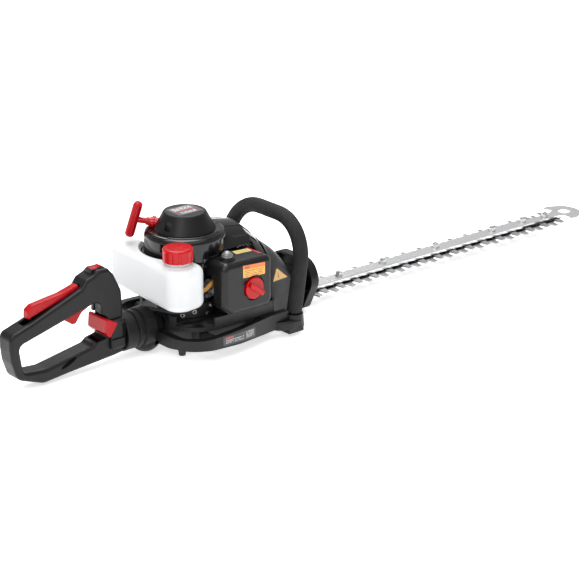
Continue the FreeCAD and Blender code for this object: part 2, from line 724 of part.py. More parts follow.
def filter_cover():
    """Air-filter cover, open at the back, with a recess for its knob and a collar for the primer."""
    body = cover_form(0.0).cut(cover_form(WALL))
    x, z = KNOB_AT
    seat = rod(21.0, (x, COVER_Y[0], z), (x, COVER_Y[0] + 6.5, z))
    recess = rod(19.0, (x, COVER_Y[0] - 1, z), (x, COVER_Y[0] + 4.0, z))
    body = joined(body, seat).cut(recess)
    body = body.cut(rod(4.0, (x, COVER_Y[0], z), (x, COVER_Y[0] + 8, z)))
    body = body.cut(upright(6.0, (COVER_Z[1] - 5, COVER_Z[1] + 5), *BULB_AT))
    relief = box((COVER_X[0] - 1.0, 22.0), (-77.0, -30.0), (60.0, 122.0))
    body = body.cut(relief)
    x, y = BULB_AT
    collar = cone(12.5, 10.5, (COVER_Z[1] - 3.0, COVER_Z[1] + 3.0), x, y)
    body = joined(body, collar).cut(upright(9.0, (COVER_Z[1] - 4.0, COVER_Z[1] + 5.0), x, y))
    return body.cut(upright(57.5, (135.0, 200.0)))


def filter_knob():
    """Round knob with a finger ridge and the screw that holds the cover."""
    x, z = KNOB_AT
    face = COVER_Y[0]
    disc = rod(16.5, (x, face + 3.6, z), (x, face - 3.0, z))
    disc = soften(disc, 1.5, ("Y", face - 3.0))
    ridge = rounded_box((x - 15.0, x + 15.0), (face - 10.0, face - 1.0), (z - 4.0, z + 4.0), 2.0)
    ridge = turned(ridge, 38.0, (x, 0, z), (0, 1, 0))
    stem = rod(3.6, (x, face + 3.0, z), (x, -71.0, z))
    return joined(disc, ridge, stem)


def primer_bulb():
    """Priming dome on top of the cover, free to be pressed down."""
    x, y = BULB_AT
    stem = upright(5.6, (COVER_Z[1] - 2.0, COVER_Z[1] + 4.0), x, y)
    dome = Part.makeSphere(8.5, V(x, y, COVER_Z[1] + 4.0))
    dome = dome.common(upright(10.0, (COVER_Z[1] + 4.0, COVER_Z[1] + 13.0), x, y))
    return joined(stem, dome)


# ---- fuel -----------------------------------------------------------------------

def tank_form(inset):
    """Tank's outer form, or its inner form when drawn in."""
    spans = []
    for low, high in (TANK_X, TANK_Y, TANK_Z):
        spans.append((low + inset, high - inset))
    corners = [(spans[0][0], spans[1][0], 26 - inset), (spans[0][1], spans[1][0] + 6, 22 - inset),
               (spans[0][1], spans[1][1], 20 - inset), (spans[0][0] + 12, spans[1][1], 22 - inset)]
    body = slab("XY", spans[2], corners)
    body = soften(body, 11.0 - inset, ("Z", spans[2][0]), ("Z", spans[2][1]))
    body = body.cut(upright(48.0 + inset, (0.0, 200.0)))
    return body.cut(upright(FLANGE_RADIUS + 2.0 + inset, (130.5 - inset, 200.0)))


def fuel_tank():
    """Blow-moulded tank that wraps around the crankcase, with a raised filler neck."""
    top = TANK_Z[1]
    shoulder = cone(33.0, 20.0, (top - 14.0, top + 2.5), *CAP_AT)
    shoulder = shoulder.common(slab("XY", (100.0, 160.0), [(-89, -92, 24), (-36, -88, 20), (-36, -30, 5), (-89, -30, 5)]))
    shoulder = shoulder.cut(upright(FLANGE_RADIUS + 2.0, (130.5, 200.0)))
    neck = upright(18.0, (top - 12.0, CAP_BASE_Z - 0.3), *CAP_AT)
    body = joined(tank_form(0.0), shoulder, neck)
    body = body.cut(tank_form(2.5))
    return body.cut(upright(14.8, (top - 16.0, CAP_BASE_Z + 2.0), *CAP_AT))


def fuel_cap():
    """Screw cap with grip flutes."""
    low = CAP_BASE_Z
    body = upright(22.5, (low, low + 20.0), *CAP_AT)
    body = soften(body, 3.5, ("Z", low + 20.0))
    for i in range(12):
        flute = upright(3.0, (low - 1, low + 15.0), CAP_AT[0] + 24.3, CAP_AT[1])
        body = body.cut(turned(flute, i * 30.0, (*CAP_AT, 0)))
    plug = upright(14.5, (low - 9.0, low), *CAP_AT)
    return joined(body, plug)


def fuel_hose():
    """Fuel line from the tank's inner side to the carburettor."""
    points = [(-31.0, -78.0, 106.0), (-22.0, -78.0, 107.0), (-12.0, -74.0, 110.0),
              (-2.0, -67.0, 111.0), (9.9, -58.0, 111.0)]
    body = hose(3.0, points).cut(fuel_tank()).cut(carburettor())
    return max(body.Solids, key=lambda solid: solid.Volume)


def throttle_cable():
    """Throttle cable's sleeve from the swivel to the carburettor's arm."""
    points = [(-74.0, -8.0, 68.0), (-66.0, -20.0, 69.0), (-56.0, -38.0, 68.0), (-40.0, -54.0, 68.0),
              (-24.0, -58.0, 75.0), (-12.0, -57.0, 84.0), (-4.1, -57.0, 94.0)]
    body = hose(2.5, points).cut(carburettor()).cut(swivel_socket())
    return max(body.Solids, key=lambda solid: solid.Volume)


# ---- covers and guards ----------------------------------------------------------

def engine_tray():
    """Shallow tray under the engine, with a rim that is cut down at the right rear corner."""
    plan = mirrored([(112.0, -78.0, 12.0), (-54.0, -82.0, 58.0)])
    inner = mirrored([(109.0, -75.0, 9.0), (-51.0, -79.0, 55.0)])
    body = slab("XY", (40.0, 59.0), plan).cut(slab("XY", (50.0, 60.0), inner))
    body = body.cut(slab("XY", (39.0, 46.2), inner))
    body = body.cut(upright(48.3, (45.0, 60.0)))
    body = body.cut(slab("XY", (39.0, 46.2), case_corners(-0.3)))
    body = body.cut(box((-60.0, -8.0), (-95.0, -40.0), (46.2, 60.0)))
    return body.cut(frame_bar()).cut(along_x(31.0, (-110.0, -50.0)))


def front_form(inset):
    """Front cover's outer form: a hood that narrows and falls towards the blade."""
    grow = 6.0 if inset else 0.0
    sections = []
    for x, half, top, radius in ((SHROUD_FRONT_X + 0.5 - grow, 56.0, 144.0, 44.0), (135.0, 52.0, 127.0, 40.0),
                                 (150.0, 48.0, 114.0, 36.0), (164.0, 45.0, 97.0, 32.0),
                                 (201.0, 38.0, 72.0, 16.0)):
        half -= inset
        corners = [(-half, 46.4 - grow, 0), (half, 46.4 - grow, 0), (half, top - inset, radius),
                   (-half, top - inset, radius)]
        sections.append(outline("YZ", x, corners))
    return Part.makeLoft(sections, True, False)


def front_cover():
    """Hood over the cylinder head, open to the rear and below."""
    return front_form(0.0).cut(front_form(WALL))


def guard_corners(inset):
    """Shield outline, or its inner outline when drawn in."""
    return [(-29 + inset, 6 + inset, 10), (29 - inset, 6 + inset, 10), (54 - inset, 56, 26 - inset),
            (38 - inset, 88 - inset, 28 - inset), (-38 + inset, 88 - inset, 28 - inset),
            (-54 + inset, 56, 26 - inset)]


def blade_guard():
    """Rounded shield across the blade's root, with a rearward rim."""
    body = soften(slab("YZ", (202.0, 218.0), guard_corners(0.0)), 3.0, ("X", 218.0))
    body = body.cut(slab("YZ", (201.0, 214.5), guard_corners(3.0)))
    slot = box((190.0, 230.0), (-16.0, 16.0), (14.0, 33.0))
    boss = box((198.2, 215.0), (-26.0, 26.0), (34.5, 46.0))
    return joined(body, boss).cut(slot)


# ---- frame and front handle -----------------------------------------------------

def frame_half(offset):
    """Right half of the frame's plan, moved inwards by an offset."""
    return [(124.0, -89.0 + offset, 0.0), (92.0, -89.0 + offset, 60.0),
            (20.0, -104.0 + offset, 120.0), (-76.0 + offset, -113.0 + offset, 44.0 - offset)]


def handle_axis(side):
    """Foot point of the front handle's leg."""
    return (HANDLE_FOOT_X, side * HANDLE_HALF)


def frame_bar():
    """Plan ring of the frame, shallower towards the rear."""
    outer = slab("XY", FRAME_Z, mirrored(frame_half(0.0)))
    inner = slab("XY", (FRAME_Z[0] - 1, FRAME_Z[1] + 1), mirrored(frame_half(FRAME_THICK)))
    front = box((110.0, 140.0), (-75.0, 75.0), (0.0, 60.0))
    low, high = FRAME_Z
    side = [(-120, low + 9, 0), (-50, low + 9, 60), (20, low + 3, 60), (80, low, 40), (150, low, 0),
            (150, high, 0), (-120, high, 0)]
    return outer.cut(inner).cut(front).common(slab("XZ", (-150.0, 150.0), side))


def cross_brace():
    """Cross member that ties both sides of the frame to the gear case's nose."""
    body = box((124.0, 140.0), (-84.0, 84.0), (7.0, 14.0))
    tabs = [box((118.0, 146.0), sorted((side * 78.0, side * 98.0)), (7.0, 16.0)) for side in (-1, 1)]
    body = joined(body, *tabs)
    return body.cut(slab("XY", (-1.0, 20.0), case_corners(-0.4)))


def main_frame():
    """U-shaped frame around the engine, with brackets for the front handle."""
    parts = [cross_brace()]
    for side in (-1, 1):
        x, y = handle_axis(side)
        inner = side * 74.0
        bracket = slab("XY", (14.0, 27.0), [(96, inner, 3), (x - 6, inner, 12), (x + 18, y - side * 6, 12),
                                            (x + 8, y + side * 16, 14), (x - 14, y + side * 16, 14),
                                            (96, side * 91.0, 20)])
        parts.append(soften(bracket, 2.5, ("Z", 14.0), ("Z", 27.0)))
        parts.append(cone(16.5, 14.5, (14.0, 34.0), x, y))
    bar = joined(frame_bar(), *parts)
    for side in (-1, 1):
        x, y = handle_axis(side)
        bar = bar.cut(upright(GRIP_RADIUS + 0.4, (20.0, 40.0), x, y))
        bar = bar.cut(upright(4.0, (5.0, 30.0), x, y)).cut(upright(8.0, (0.0, 14.0), x, y))
    return bar.removeSplitter()


def handle_path(radius):
    """Front handle's tube: two legs, two bends and the top bar."""
    x, half = HANDLE_FOOT_X, HANDLE_HALF
    top, bend = HANDLE_TOP_Z, HANDLE_BEND
    edges = []
    corner = bend * (1.0 - math.sqrt(0.5))
    for side in (-1, 1):
        low = V(x, side * half, 20.5)
        high = V(x, side * half, top - bend)
        middle = V(x, side * (half - corner), top - corner)
        inner = V(x, side * (half - bend), top)
        leg = [Part.LineSegment(low, high).toShape(), Part.Arc(high, middle, inner).toShape()]
        edges += leg if side < 0 else [leg[1], leg[0]]
        if side < 0:
            edges.append(Part.LineSegment(inner, V(x, half - bend, top)).toShape())
    path = Part.Wire(edges)
    section = Part.Wire(Part.makeCircle(radius, V(x, -half, 20.5), V(0, 0, 1)))
    return path.makePipeShell([section], True, False)


def leaned(shape):
    """The front handle leans forward about the line through its feet."""
    return turned(shape, HANDLE_LEAN, (HANDLE_FOOT_X, 0, 27.0), (0, 1, 0))


def front_handle():
    """Steel tube of the front handle."""
    socket_space = box((120.0, 165.0), (-130.0, 130.0), (0.0, 28.0))
    tube = leaned(handle_path(HANDLE_TUBE)).cut(socket_space)
    return tube.cut(main_frame())


def front_grip():
    """Rubber sleeve over the whole visible tube."""
    body = leaned(handle_path(GRIP_RADIUS).cut(handle_path(HANDLE_TUBE)))
    keep_off = box((120.0, 170.0), (-130.0, 130.0), (0.0, 35.5))
    return body.cut(keep_off)


def handle_bolts():
    """Bolts that fix the front handle's feet from below."""
    pieces = []
    for side in (-1, 1):
        x, y = handle_axis(side)
        pieces.append(joined(hexagon(6.5, x, y, (8.0, 13.9)), upright(4.0, (13.0, 27.9), x, y)))
    return group(pieces)


def rubber_buffers():
    """Buffers between the gear case's lugs and the frame."""
    pieces = []
    frame = frame_bar()
    for side in (-1, 1):
        for x in (-18.0, 84.0):
            buffer = rod(8.0, (x, side * 66.0, 29.0), (x, side * 97.0, 29.0)).cut(frame)
            pieces.append(min(buffer.Solids, key=lambda solid: abs(solid.CenterOfMass.y)))
    return group(pieces)


# ---- swivel and rear handle -----------------------------------------------------

def along_x(radius, x):
    """Cylinder on the swivel axis."""
    return rod(radius, (x[0], 0, SWIVEL_Z), (x[1], 0, SWIVEL_Z))


def revolved(profile):
    """Solid of revolution about the swivel axis from (x, radius) points."""
    points = [V(x, 0, SWIVEL_Z + r) for x, r in profile]
    wire = Part.makePolygon(points + [points[0]])
    return Part.Face(wire).revolve(V(0, 0, SWIVEL_Z), V(1, 0, 0), 360)


def swivel_socket():
    """Fixed half of the swivel: a cup clamped to the frame's rear bar, with a hollow spigot."""
    cup = revolved([(-104.6, 0), (-104.6, 26.5), (-103.1, 28.5), (-98, 28.5), (-96.5, 27), (-93.5, 27), (-92, 30),
                    (-76, 30.5), (-64, 27), (-56, 19), (-53, 8), (-53, 0)])
    bulge = Part.makeSphere(24.0, V(-77.0, 0, 26.0))
    spigot = along_x(SPIGOT_RADIUS, (-148.0, -100.0))
    flange = along_x(SPIGOT_RADIUS + 2.5, (-148.0, -144.6))
    body = joined(cup, bulge, spigot, flange).cut(along_x(10.0, (-160.0, -80.0)))
    outer = slab("XY", FRAME_Z, mirrored(frame_half(0.0)))
    body = body.cut(outer.cut(box((-64.0, 200.0), (-120.0, 120.0), (0.0, 60.0))))
    body = body.cut(slab("XY", (0.0, 46.3), case_corners(-0.5)))
    return max(body.Solids, key=lambda solid: solid.Volume)


def swivel_collar():
    """Turning ring at the front of the rear handle."""
    tube = SPIGOT_RADIUS + 3.5
    body = revolved([(-144.2, 0), (-144.2, tube), (-125.4, tube), (-125.4, 26.5), (-124, 28), (-107, 28),
                     (-105, 26.5), (-105, 0)])
    return body.cut(along_x(SPIGOT_RADIUS + RUNNING_GAP, (-150.0, -100.0)))


def handle_outer():
    """Side outline of the rear handle."""
    return [(-320, 88, 12), (-283, 99.5, 60), (-196, 131, 8), (-188, 141.5, 6), (-174, 146.5, 6),
            (-168, 151.5, 3), (-149, 151, 6), (-140, 140, 12), (-127, 113, 20), (-125.8, 80, 30),
            (-125.8, 18, 5), (-143, 15.5, 12), (-222, 9, 40), (-266, 4.5, 24), (-309, 20, 18),
            (-318, 48, 20), (-320, 66, 12)]


def handle_loop():
    """Inner outline of the rear handle's loop."""
    return [(-305, 70, 10), (-225, 90.5, 40), (-161, 107, 12), (-165.5, 55, 14), (-181, 39, 12),
            (-262, 25, 30), (-299, 28, 9)]


def handle_solid():
    """Full rear handle before it is hollowed and split."""
    body = slab("XZ", (-BODY_HALF, BODY_HALF), handle_outer(), handle_loop())
    return soften(body, 5.0, ("Y", -BODY_HALF), ("Y", BODY_HALF))


def handle_cavity():
    """Hollow space inside the rear handle."""
    inside = BODY_HALF - SHELL_WALL
    outer = Part.Face(outline("XZ", -inside, handle_outer()))
    loop = Part.Face(outline("XZ", -inside, handle_loop()))
    shrunk = outer.makeOffset2D(-3.5).cut(loop.makeOffset2D(3.5))
    return shrunk.extrude(V(0, 2 * inside, 0))


def handle_neck():
    """Wider neck around the swivel, with the notch that the latch's bridge sits in."""
    neck = rounded_box((-152.0, -125.8), (-NECK_HALF, NECK_HALF), (27.0, 73.0), 5.0)
    wall = box((-163.0, -148.0), (-BODY_HALF, BODY_HALF), (40.0, 90.0)).common(handle_solid())
    notch = slab("XZ", (-40.0, 40.0), [(-190, 84, 0), (-153.5, 84, 2), (-156.0, 46, 2), (-190, 40, 0)])
    return joined(neck, wall).cut(notch), notch


def rear_handle_shape():
    """Hollow rear handle with its openings for trigger, lever, switch, latch and swivel."""
    neck, notch = handle_neck()
    body = joined(handle_solid().cut(handle_cavity()).cut(notch), neck)
    body = body.cut(box((-228.0, -161.0), (-6.8, 6.8), (60.0, 114.0)))
    slot = [(-292, 84, 0), (-193, 112, 0), (-193, 150, 0), (-292, 130, 0)]
    body = body.cut(slab("XZ", (-7.3, 7.3), slot))
    body = body.cut(box((-175.8, -150.2), (-7.9, 7.9), (140.0, 170.0)))
    pocket_side = [(-162, 88, 1), (-130, 65, 2), (-130, 43, 2), (-162, 43, 1)]
    for side in (-1, 1):
        body = body.cut(slab("XZ", sorted((side * (NECK_HALF - 2.7), side * 40.0)), pocket_side))
    body = body.cut(along_x(SPIGOT_RADIUS + 3.8, (-150.0, -100.0)))
    for x, z in (TRIGGER_PIVOT, LOCKOUT_PIVOT):
        boss = rod(5.5, (x, -13.5, z), (x, -8.0, z)).fuse(rod(5.5, (x, 8.0, z), (x, 13.5, z)))
        body = body.fuse(boss).cut(rod(2.5, (x, -11.0, z), (x, 11.0, z)))
    return body


def half_handle(side):
    """One moulded half of the rear handle."""
    half = box((-340.0, -100.0), sorted((0.0, side * 40.0)), (-10.0, 180.0))
    pieces = rear_handle_shape().common(half).Solids
    return max(pieces, key=lambda solid: solid.Volume)


def throttle_trigger():
    """Finger trigger hinged in the grip."""
    corners = [(-222, 87, 3), (-208, 77, 4), (-202, 77, 3), (-192, 91, 12), (-170, 102, 4), (-165, 108, 3),
               (-167, 116, 6), (-177, 116, 5), (-190, 104, 8), (-221, 95, 3)]
    body = slab("XZ", (-6.0, 6.0), corners)
    body = soften(body, 1.8, ("Y", -6.0), ("Y", 6.0))
    x, z = TRIGGER_PIVOT
    return body.cut(rod(2.5 + RUNNING_GAP, (x, -10, z), (x, 10, z)))


def lockout_lever():
    """Palm lever on top of the grip, which frees the trigger when pressed."""
    corners = [(-284, 101, 3), (-283, 116, 5), (-275, 122, 8), (-226, 128, 30), (-196, 136, 3),
               (-194, 122, 4), (-196, 113, 4), (-206, 113, 4), (-225, 119, 6), (-276, 105, 6)]
    body = slab("XZ", (-6.5, 6.5), corners)
    body = soften(body, 2.0, ("Y", -6.5), ("Y", 6.5))
    x, z = LOCKOUT_PIVOT
    return body.cut(rod(2.5 + RUNNING_GAP, (x, -10, z), (x, 10, z)))


def pivot_pins():
    """Steel pins of trigger and lockout lever."""
    pins = []
    for x, z in (TRIGGER_PIVOT, LOCKOUT_PIVOT):
        pins.append(rod(2.5, (x, -10.9, z), (x, 10.9, z)))
    return group(pins)


def switch_bezel():
    """Frame of the ignition switch, let into the top of the handle."""
    body = rounded_box((-175.5, -150.5), (-7.6, 7.6), (140.2, 152.5), 1.5)
    body = body.cut(box((-173.5, -152.5), (-5.6, 5.6), (142.0, 165.0)))
    x, z = ROCKER_PIVOT
    return body.cut(rod(1.5, (x, -7.1, z), (x, 7.1, z)))


def ignition_rocker():
    """Two-position ignition rocker."""
    x, z = ROCKER_PIVOT
    corners = [(x - 8.6, z + 6.5, 1), (x - 7.5, z - 1.0, 2), (x, z - 3.3, 4), (x + 7.5, z - 1.0, 2),
               (x + 8.6, z + 9.5, 1), (x, z + 6.6, 12)]
    body = slab("XZ", (-5.2, 5.2), corners)
    return joined(body, rod(1.5 - RUNNING_GAP, (x, -7.0, z), (x, 7.0, z)))


def release_latch():
    """Slide that wraps round the handle's neck and frees the swivel when pulled."""
    wing = NECK_HALF - 2.3
    side = [(-160.5, 79, 3), (-140.5, 68, 2), (-155.5, 48, 2), (-162.5, 56, 3)]
    outer = soften(slab("XZ", (-wing - 3.2, wing + 3.2), side), 2.0, ("Y", -wing - 3.2), ("Y", wing + 3.2))
    space = [(-100, 110, 0), (-153.9, 110, 0), (-157.3, 48, 0), (-150, 30, 0), (-100, 30, 0)]
    return outer.cut(slab("XZ", (-wing, wing), space))


def handle_screws():
    """Screws that hold the two handle halves together."""
    pieces = []
    for x, z in ((-240, 100), (-146, 116), (-168, 28), (-250, 15.5)):
        pieces.append(rod(3.4, (x, BODY_HALF, z), (x, BODY_HALF + 1.2, z)))
    return group(pieces)


# ---- assembly -------------------------------------------------------------------

def nodes():
    """Every node of the part, by name."""
    shift = ECCENTRIC_THROW
    return {
        "guide_rail": guide_rail(),
        "upper_blade": blade(UPPER_BLADE_Z, shift),
        "lower_blade": blade(LOWER_BLADE_Z, -shift),
        "tip_plate": tip_plate(),
        "blade_bolts": blade_bolts(),
        "drive_gear": drive_gear(),
        "clutch_drum": clutch_drum(),
        "clutch_shoes": clutch_shoes(),
        "gear_case_lower": gear_case_lower(),
        "gear_case_upper": gear_case_upper(),
        "clutch_housing": clutch_housing(),
        "crankcase": crankcase(),
        "crankshaft": crankshaft(),
        "shaft_bearings": shaft_bearings(),
        "connecting_rod": connecting_rod(),
        "piston": piston(),
        "engine_cylinder": engine_cylinder(),
        "spark_plug": spark_plug(),
        "ignition_coil": ignition_coil(),
        "ignition_lead": ignition_lead(),
        "flywheel": flywheel(),
        "engine_shroud": engine_shroud(),
        "starter_dome": starter_dome(),
        "rope_guide": rope_guide(),
        "starter_reel": starter_reel(),
        "recoil_spring": recoil_spring(),
        "starter_handle": starter_handle(),
        "starter_rope": starter_rope(),
        "muffler": muffler(),
        "muffler_guard": muffler_guard(),
        "intake_insulator": intake_insulator(),
        "carburettor": carburettor(),
        "filter_base": filter_base(),
        "air_filter": air_filter(),
        "filter_cover": filter_cover(),
        "filter_knob": filter_knob(),
        "primer_bulb": primer_bulb(),
        "fuel_tank": fuel_tank(),
        "fuel_cap": fuel_cap(),
        "fuel_hose": fuel_hose(),
        "throttle_cable": throttle_cable(),
        "engine_tray": engine_tray(),
        "front_cover": front_cover(),
        "blade_guard": blade_guard(),
        "main_frame": main_frame(),
        "front_handle": front_handle(),
        "front_grip": front_grip(),
        "handle_bolts": handle_bolts(),
        "rubber_buffers": rubber_buffers(),
        "swivel_socket": swivel_socket(),
        "swivel_collar": swivel_collar(),
        "rear_handle_right": half_handle(-1),
        "rear_handle_left": half_handle(1),
        "throttle_trigger": throttle_trigger(),
        "lockout_lever": lockout_lever(),
        "pivot_pins": pivot_pins(),
        "switch_bezel": switch_bezel(),
        "ignition_rocker": ignition_rocker(),
        "release_latch": release_latch(),
        "handle_screws": handle_screws(),
    }


def main():
    """Write one STEP file per node."""
    os.makedirs("parts", exist_ok=True)
    for name, shape in nodes().items():
        box_size = shape.BoundBox
        print(f"{name:20s} solids {len(shape.Solids)} valid {shape.isValid()} volume {shape.Volume:10.0f} "
              f"x {box_size.XMin:7.1f} {box_size.XMax:7.1f} y {box_size.YMin:7.1f} {box_size.YMax:7.1f} "
              f"z {box_size.ZMin:7.1f} {box_size.ZMax:7.1f}")
        shape.exportStep(os.path.join("parts", name + ".step"))


main()
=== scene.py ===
"""Looks of a petrol hedge trimmer: finishes, labels, grip, fasteners, camera and studio.

Every piece is in metres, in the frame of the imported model. Sizes in the classes are
millimetres, and turned to metres where a mesh is made.
"""
import logging
import math
from dataclasses import dataclass, field
from enum import Enum
from typing import Any, Optional, Sequence

import bmesh
import bpy
from mathutils import Euler, Matrix, Vector
from mathutils.bvhtree import BVHTree


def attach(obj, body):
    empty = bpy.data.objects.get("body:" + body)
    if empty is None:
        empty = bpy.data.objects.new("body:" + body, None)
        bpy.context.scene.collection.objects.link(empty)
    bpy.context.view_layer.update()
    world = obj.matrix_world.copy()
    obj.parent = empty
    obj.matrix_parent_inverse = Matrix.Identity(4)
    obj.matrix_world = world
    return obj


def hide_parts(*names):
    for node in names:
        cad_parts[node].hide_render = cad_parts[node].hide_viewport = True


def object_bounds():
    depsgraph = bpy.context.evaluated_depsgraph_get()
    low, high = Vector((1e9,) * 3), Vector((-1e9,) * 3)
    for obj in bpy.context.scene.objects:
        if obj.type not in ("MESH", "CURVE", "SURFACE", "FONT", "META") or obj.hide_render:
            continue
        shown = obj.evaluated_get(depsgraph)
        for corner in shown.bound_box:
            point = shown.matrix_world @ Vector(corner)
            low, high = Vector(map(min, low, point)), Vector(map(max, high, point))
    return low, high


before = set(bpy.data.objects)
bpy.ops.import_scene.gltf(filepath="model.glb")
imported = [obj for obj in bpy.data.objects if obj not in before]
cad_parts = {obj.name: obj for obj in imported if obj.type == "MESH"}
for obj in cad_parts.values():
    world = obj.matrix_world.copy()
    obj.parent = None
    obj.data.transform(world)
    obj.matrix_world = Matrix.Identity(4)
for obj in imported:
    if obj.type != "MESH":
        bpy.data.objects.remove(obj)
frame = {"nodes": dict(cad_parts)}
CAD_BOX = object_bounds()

LOG = logging.getLogger("hedge_trimmer")
MM = 0.001

Vec3 = tuple[float, float, float]
Colour = tuple[float, float, float]


# ---------------------------------------------------------------------------
# Node boards
# ---------------------------------------------------------------------------

class Board:
    """A material's node board, with short ways to add and join nodes."""

    def __init__(self, name: str) -> None:
        """Start a material that holds a Principled shader and its output.

        Args:
            name: Name of the new material.
        """
        self.material = bpy.data.materials.new(name)
        self.material.use_nodes = True
        self.tree = self.material.node_tree
        self.tree.nodes.clear()
        output = self.tree.nodes.new("ShaderNodeOutputMaterial")
        self.shader = self.tree.nodes.new("ShaderNodeBsdfPrincipled")
        self.tree.links.new(self.shader.outputs["BSDF"], output.inputs["Surface"])

    def add(self, kind: str, **settings: Any) -> bpy.types.Node:
        """Add a node and set its properties.

        Args:
            kind: Node type identifier.
            **settings: Property names and values.

        Returns:
            The new node.
        """
        node = self.tree.nodes.new(kind)
        for key, value in settings.items():
            setattr(node, key, value)
        return node

    def join(self, source: bpy.types.NodeSocket, target: bpy.types.NodeSocket) -> None:
        """Link one socket to another."""
        self.tree.links.new(source, target)

    def place(self, scale: Vec3 = (1.0, 1.0, 1.0), output: str = "Object") -> bpy.types.NodeSocket:
        """Coordinates of the surface, stretched by a scale.

        Args:
            scale: Factor on each axis.
            output: Which coordinates to read, Object or UV.

        Returns:
            The vector socket.
        """
        source = self.add("ShaderNodeTexCoord")
        mapping = self.add("ShaderNodeMapping")
        mapping.inputs["Scale"].default_value = scale
        self.join(source.outputs[output], mapping.inputs["Vector"])
        return mapping.outputs["Vector"]

    def noise(self, vector: bpy.types.NodeSocket, scale: float, detail: float = 2.0,
              roughness: float = 0.5) -> bpy.types.NodeSocket:
        """Noise between 0 and 1.

        Args:
            vector: Coordinates.
            scale: Cells per metre.
            detail: Octaves.
            roughness: Strength of the finer octaves.

        Returns:
            The factor socket.
        """
        node = self.add("ShaderNodeTexNoise")
        node.inputs["Scale"].default_value = scale
        node.inputs["Detail"].default_value = detail
        node.inputs["Roughness"].default_value = roughness
        self.join(vector, node.inputs["Vector"])
        return node.outputs["Fac"]

    def remap(self, value: bpy.types.NodeSocket, low: float, high: float, start: float = 0.0,
              end: float = 1.0) -> bpy.types.NodeSocket:
        """Turn a value's range from start..end into low..high.

        Args:
            value: Socket to read.
            low: Result at start.
            high: Result at end.
            start: Value that gives low.
            end: Value that gives high.

        Returns:
            The result socket.
        """
        node = self.add("ShaderNodeMapRange")
        for key, number in (("From Min", start), ("From Max", end), ("To Min", low), ("To Max", high)):
            node.inputs[key].default_value = number
        self.join(value, node.inputs["Value"])
        return node.outputs["Result"]

    def blend(self, factor: bpy.types.NodeSocket, first: Colour, second: Colour) -> bpy.types.NodeSocket:
        """Mix two fixed colours.

        Args:
            factor: 0 gives the first colour, 1 the second.
            first: Colour at 0.
            second: Colour at 1.

        Returns:
            The colour socket.
        """
        node = self.add("ShaderNodeMix", data_type="RGBA")
        colours = [socket for socket in node.inputs if socket.type == "RGBA"]
        colours[0].default_value = (*first, 1.0)
        colours[1].default_value = (*second, 1.0)
        self.join(factor, node.inputs[0])
        return next(socket for socket in node.outputs if socket.type == "RGBA")

    def mix(self, factor: bpy.types.NodeSocket, first: bpy.types.NodeSocket,
            second: Colour) -> bpy.types.NodeSocket:
        """Mix a colour socket with a fixed colour.

        Args:
            factor: 0 gives the socket's colour, 1 the fixed one.
            first: Colour socket.
            second: Fixed colour.

        Returns:
            The colour socket.
        """
        node = self.add("ShaderNodeMix", data_type="RGBA")
        colours = [socket for socket in node.inputs if socket.type == "RGBA"]
        self.join(first, colours[0])
        colours[1].default_value = (*second, 1.0)
        self.join(factor, node.inputs[0])
        return next(socket for socket in node.outputs if socket.type == "RGBA")

    def math(self, operation: str, first: bpy.types.NodeSocket,
             second: float | bpy.types.NodeSocket = 0.0) -> bpy.types.NodeSocket:
        """One arithmetic step.

        Args:
            operation: Name of the operation.
            first: First operand.
            second: Second operand, a number or a socket.

        Returns:
            The result socket.
        """
        node = self.add("ShaderNodeMath", operation=operation)
        self.join(first, node.inputs[0])
        if isinstance(second, (int, float)):
            node.inputs[1].default_value = second
        else:
            self.join(second, node.inputs[1])
        return node.outputs[0]

    def axes(self, vector: bpy.types.NodeSocket) -> tuple[bpy.types.NodeSocket, ...]:
        """Split a vector into its three parts."""
        node = self.add("ShaderNodeSeparateXYZ")
        self.join(vector, node.inputs[0])
        return tuple(node.outputs)

    def bump(self, height: bpy.types.NodeSocket, distance: float, strength: float = 1.0) -> None:
        """Drive the shader's normal from a height.

        Args:
            height: Height socket, 0 to 1.
            distance: Relief in metres.
            strength: How strongly the relief shows.
        """
        node = self.add("ShaderNodeBump")
        node.inputs["Distance"].default_value = distance
        node.inputs["Strength"].default_value = strength
        self.join(height, node.inputs["Height"])
        self.join(node.outputs["Normal"], self.shader.inputs["Normal"])

    def set(self, **values: Any) -> None:
        """Set uniform values on the shader's own sockets; an underscore stands for a blank."""
        for key, value in values.items():
            self.shader.inputs[key.replace("_", " ")].default_value = value


# ---------------------------------------------------------------------------
# Finishes
# ---------------------------------------------------------------------------

def tone(colour: Colour, factor: float, lift: float = 0.0) -> Colour:
    """A colour made lighter or darker by a factor, then lifted by a small amount."""
    return tuple(min(1.0, channel * factor + lift) for channel in colour)


@dataclass(frozen=True)
class MouldedPlastic:
    """Injection-moulded plastic with a fine spark-eroded grain and dusty wear."""

    name: str
    colour: Colour
    roughness: float = 0.45
    grain: float = 0.00003
    grain_scale: float = 1500.0
    coat: float = 0.0
    mottle: float = 0.25
    specular: float = 0.4

    def make(self) -> bpy.types.Material:
        """Build the material."""
        board = Board(self.name)
        place = board.place()
        cloud = board.noise(place, 28.0, 4.0, 0.6)
        low, high = tone(self.colour, 1.0 - self.mottle), tone(self.colour, 1.0 + self.mottle)
        board.join(board.blend(cloud, low, high), board.shader.inputs["Base Color"])
        smear_and_shade_edge = board.noise(board.place((1.0, 1.0, 0.35)), 75.0, 5.0, 0.65)
        rough = board.remap(smear_and_shade_edge, self.roughness - 0.07, self.roughness + 0.09, 0.25, 0.75)
        board.join(rough, board.shader.inputs["Roughness"])
        fine = board.noise(place, self.grain_scale, 2.0, 0.5)
        board.bump(fine, self.grain, 0.8)
        board.set(Coat_Weight=self.coat, Coat_Roughness=0.08, IOR=1.5, Specular_IOR_Level=self.specular)
        return board.material


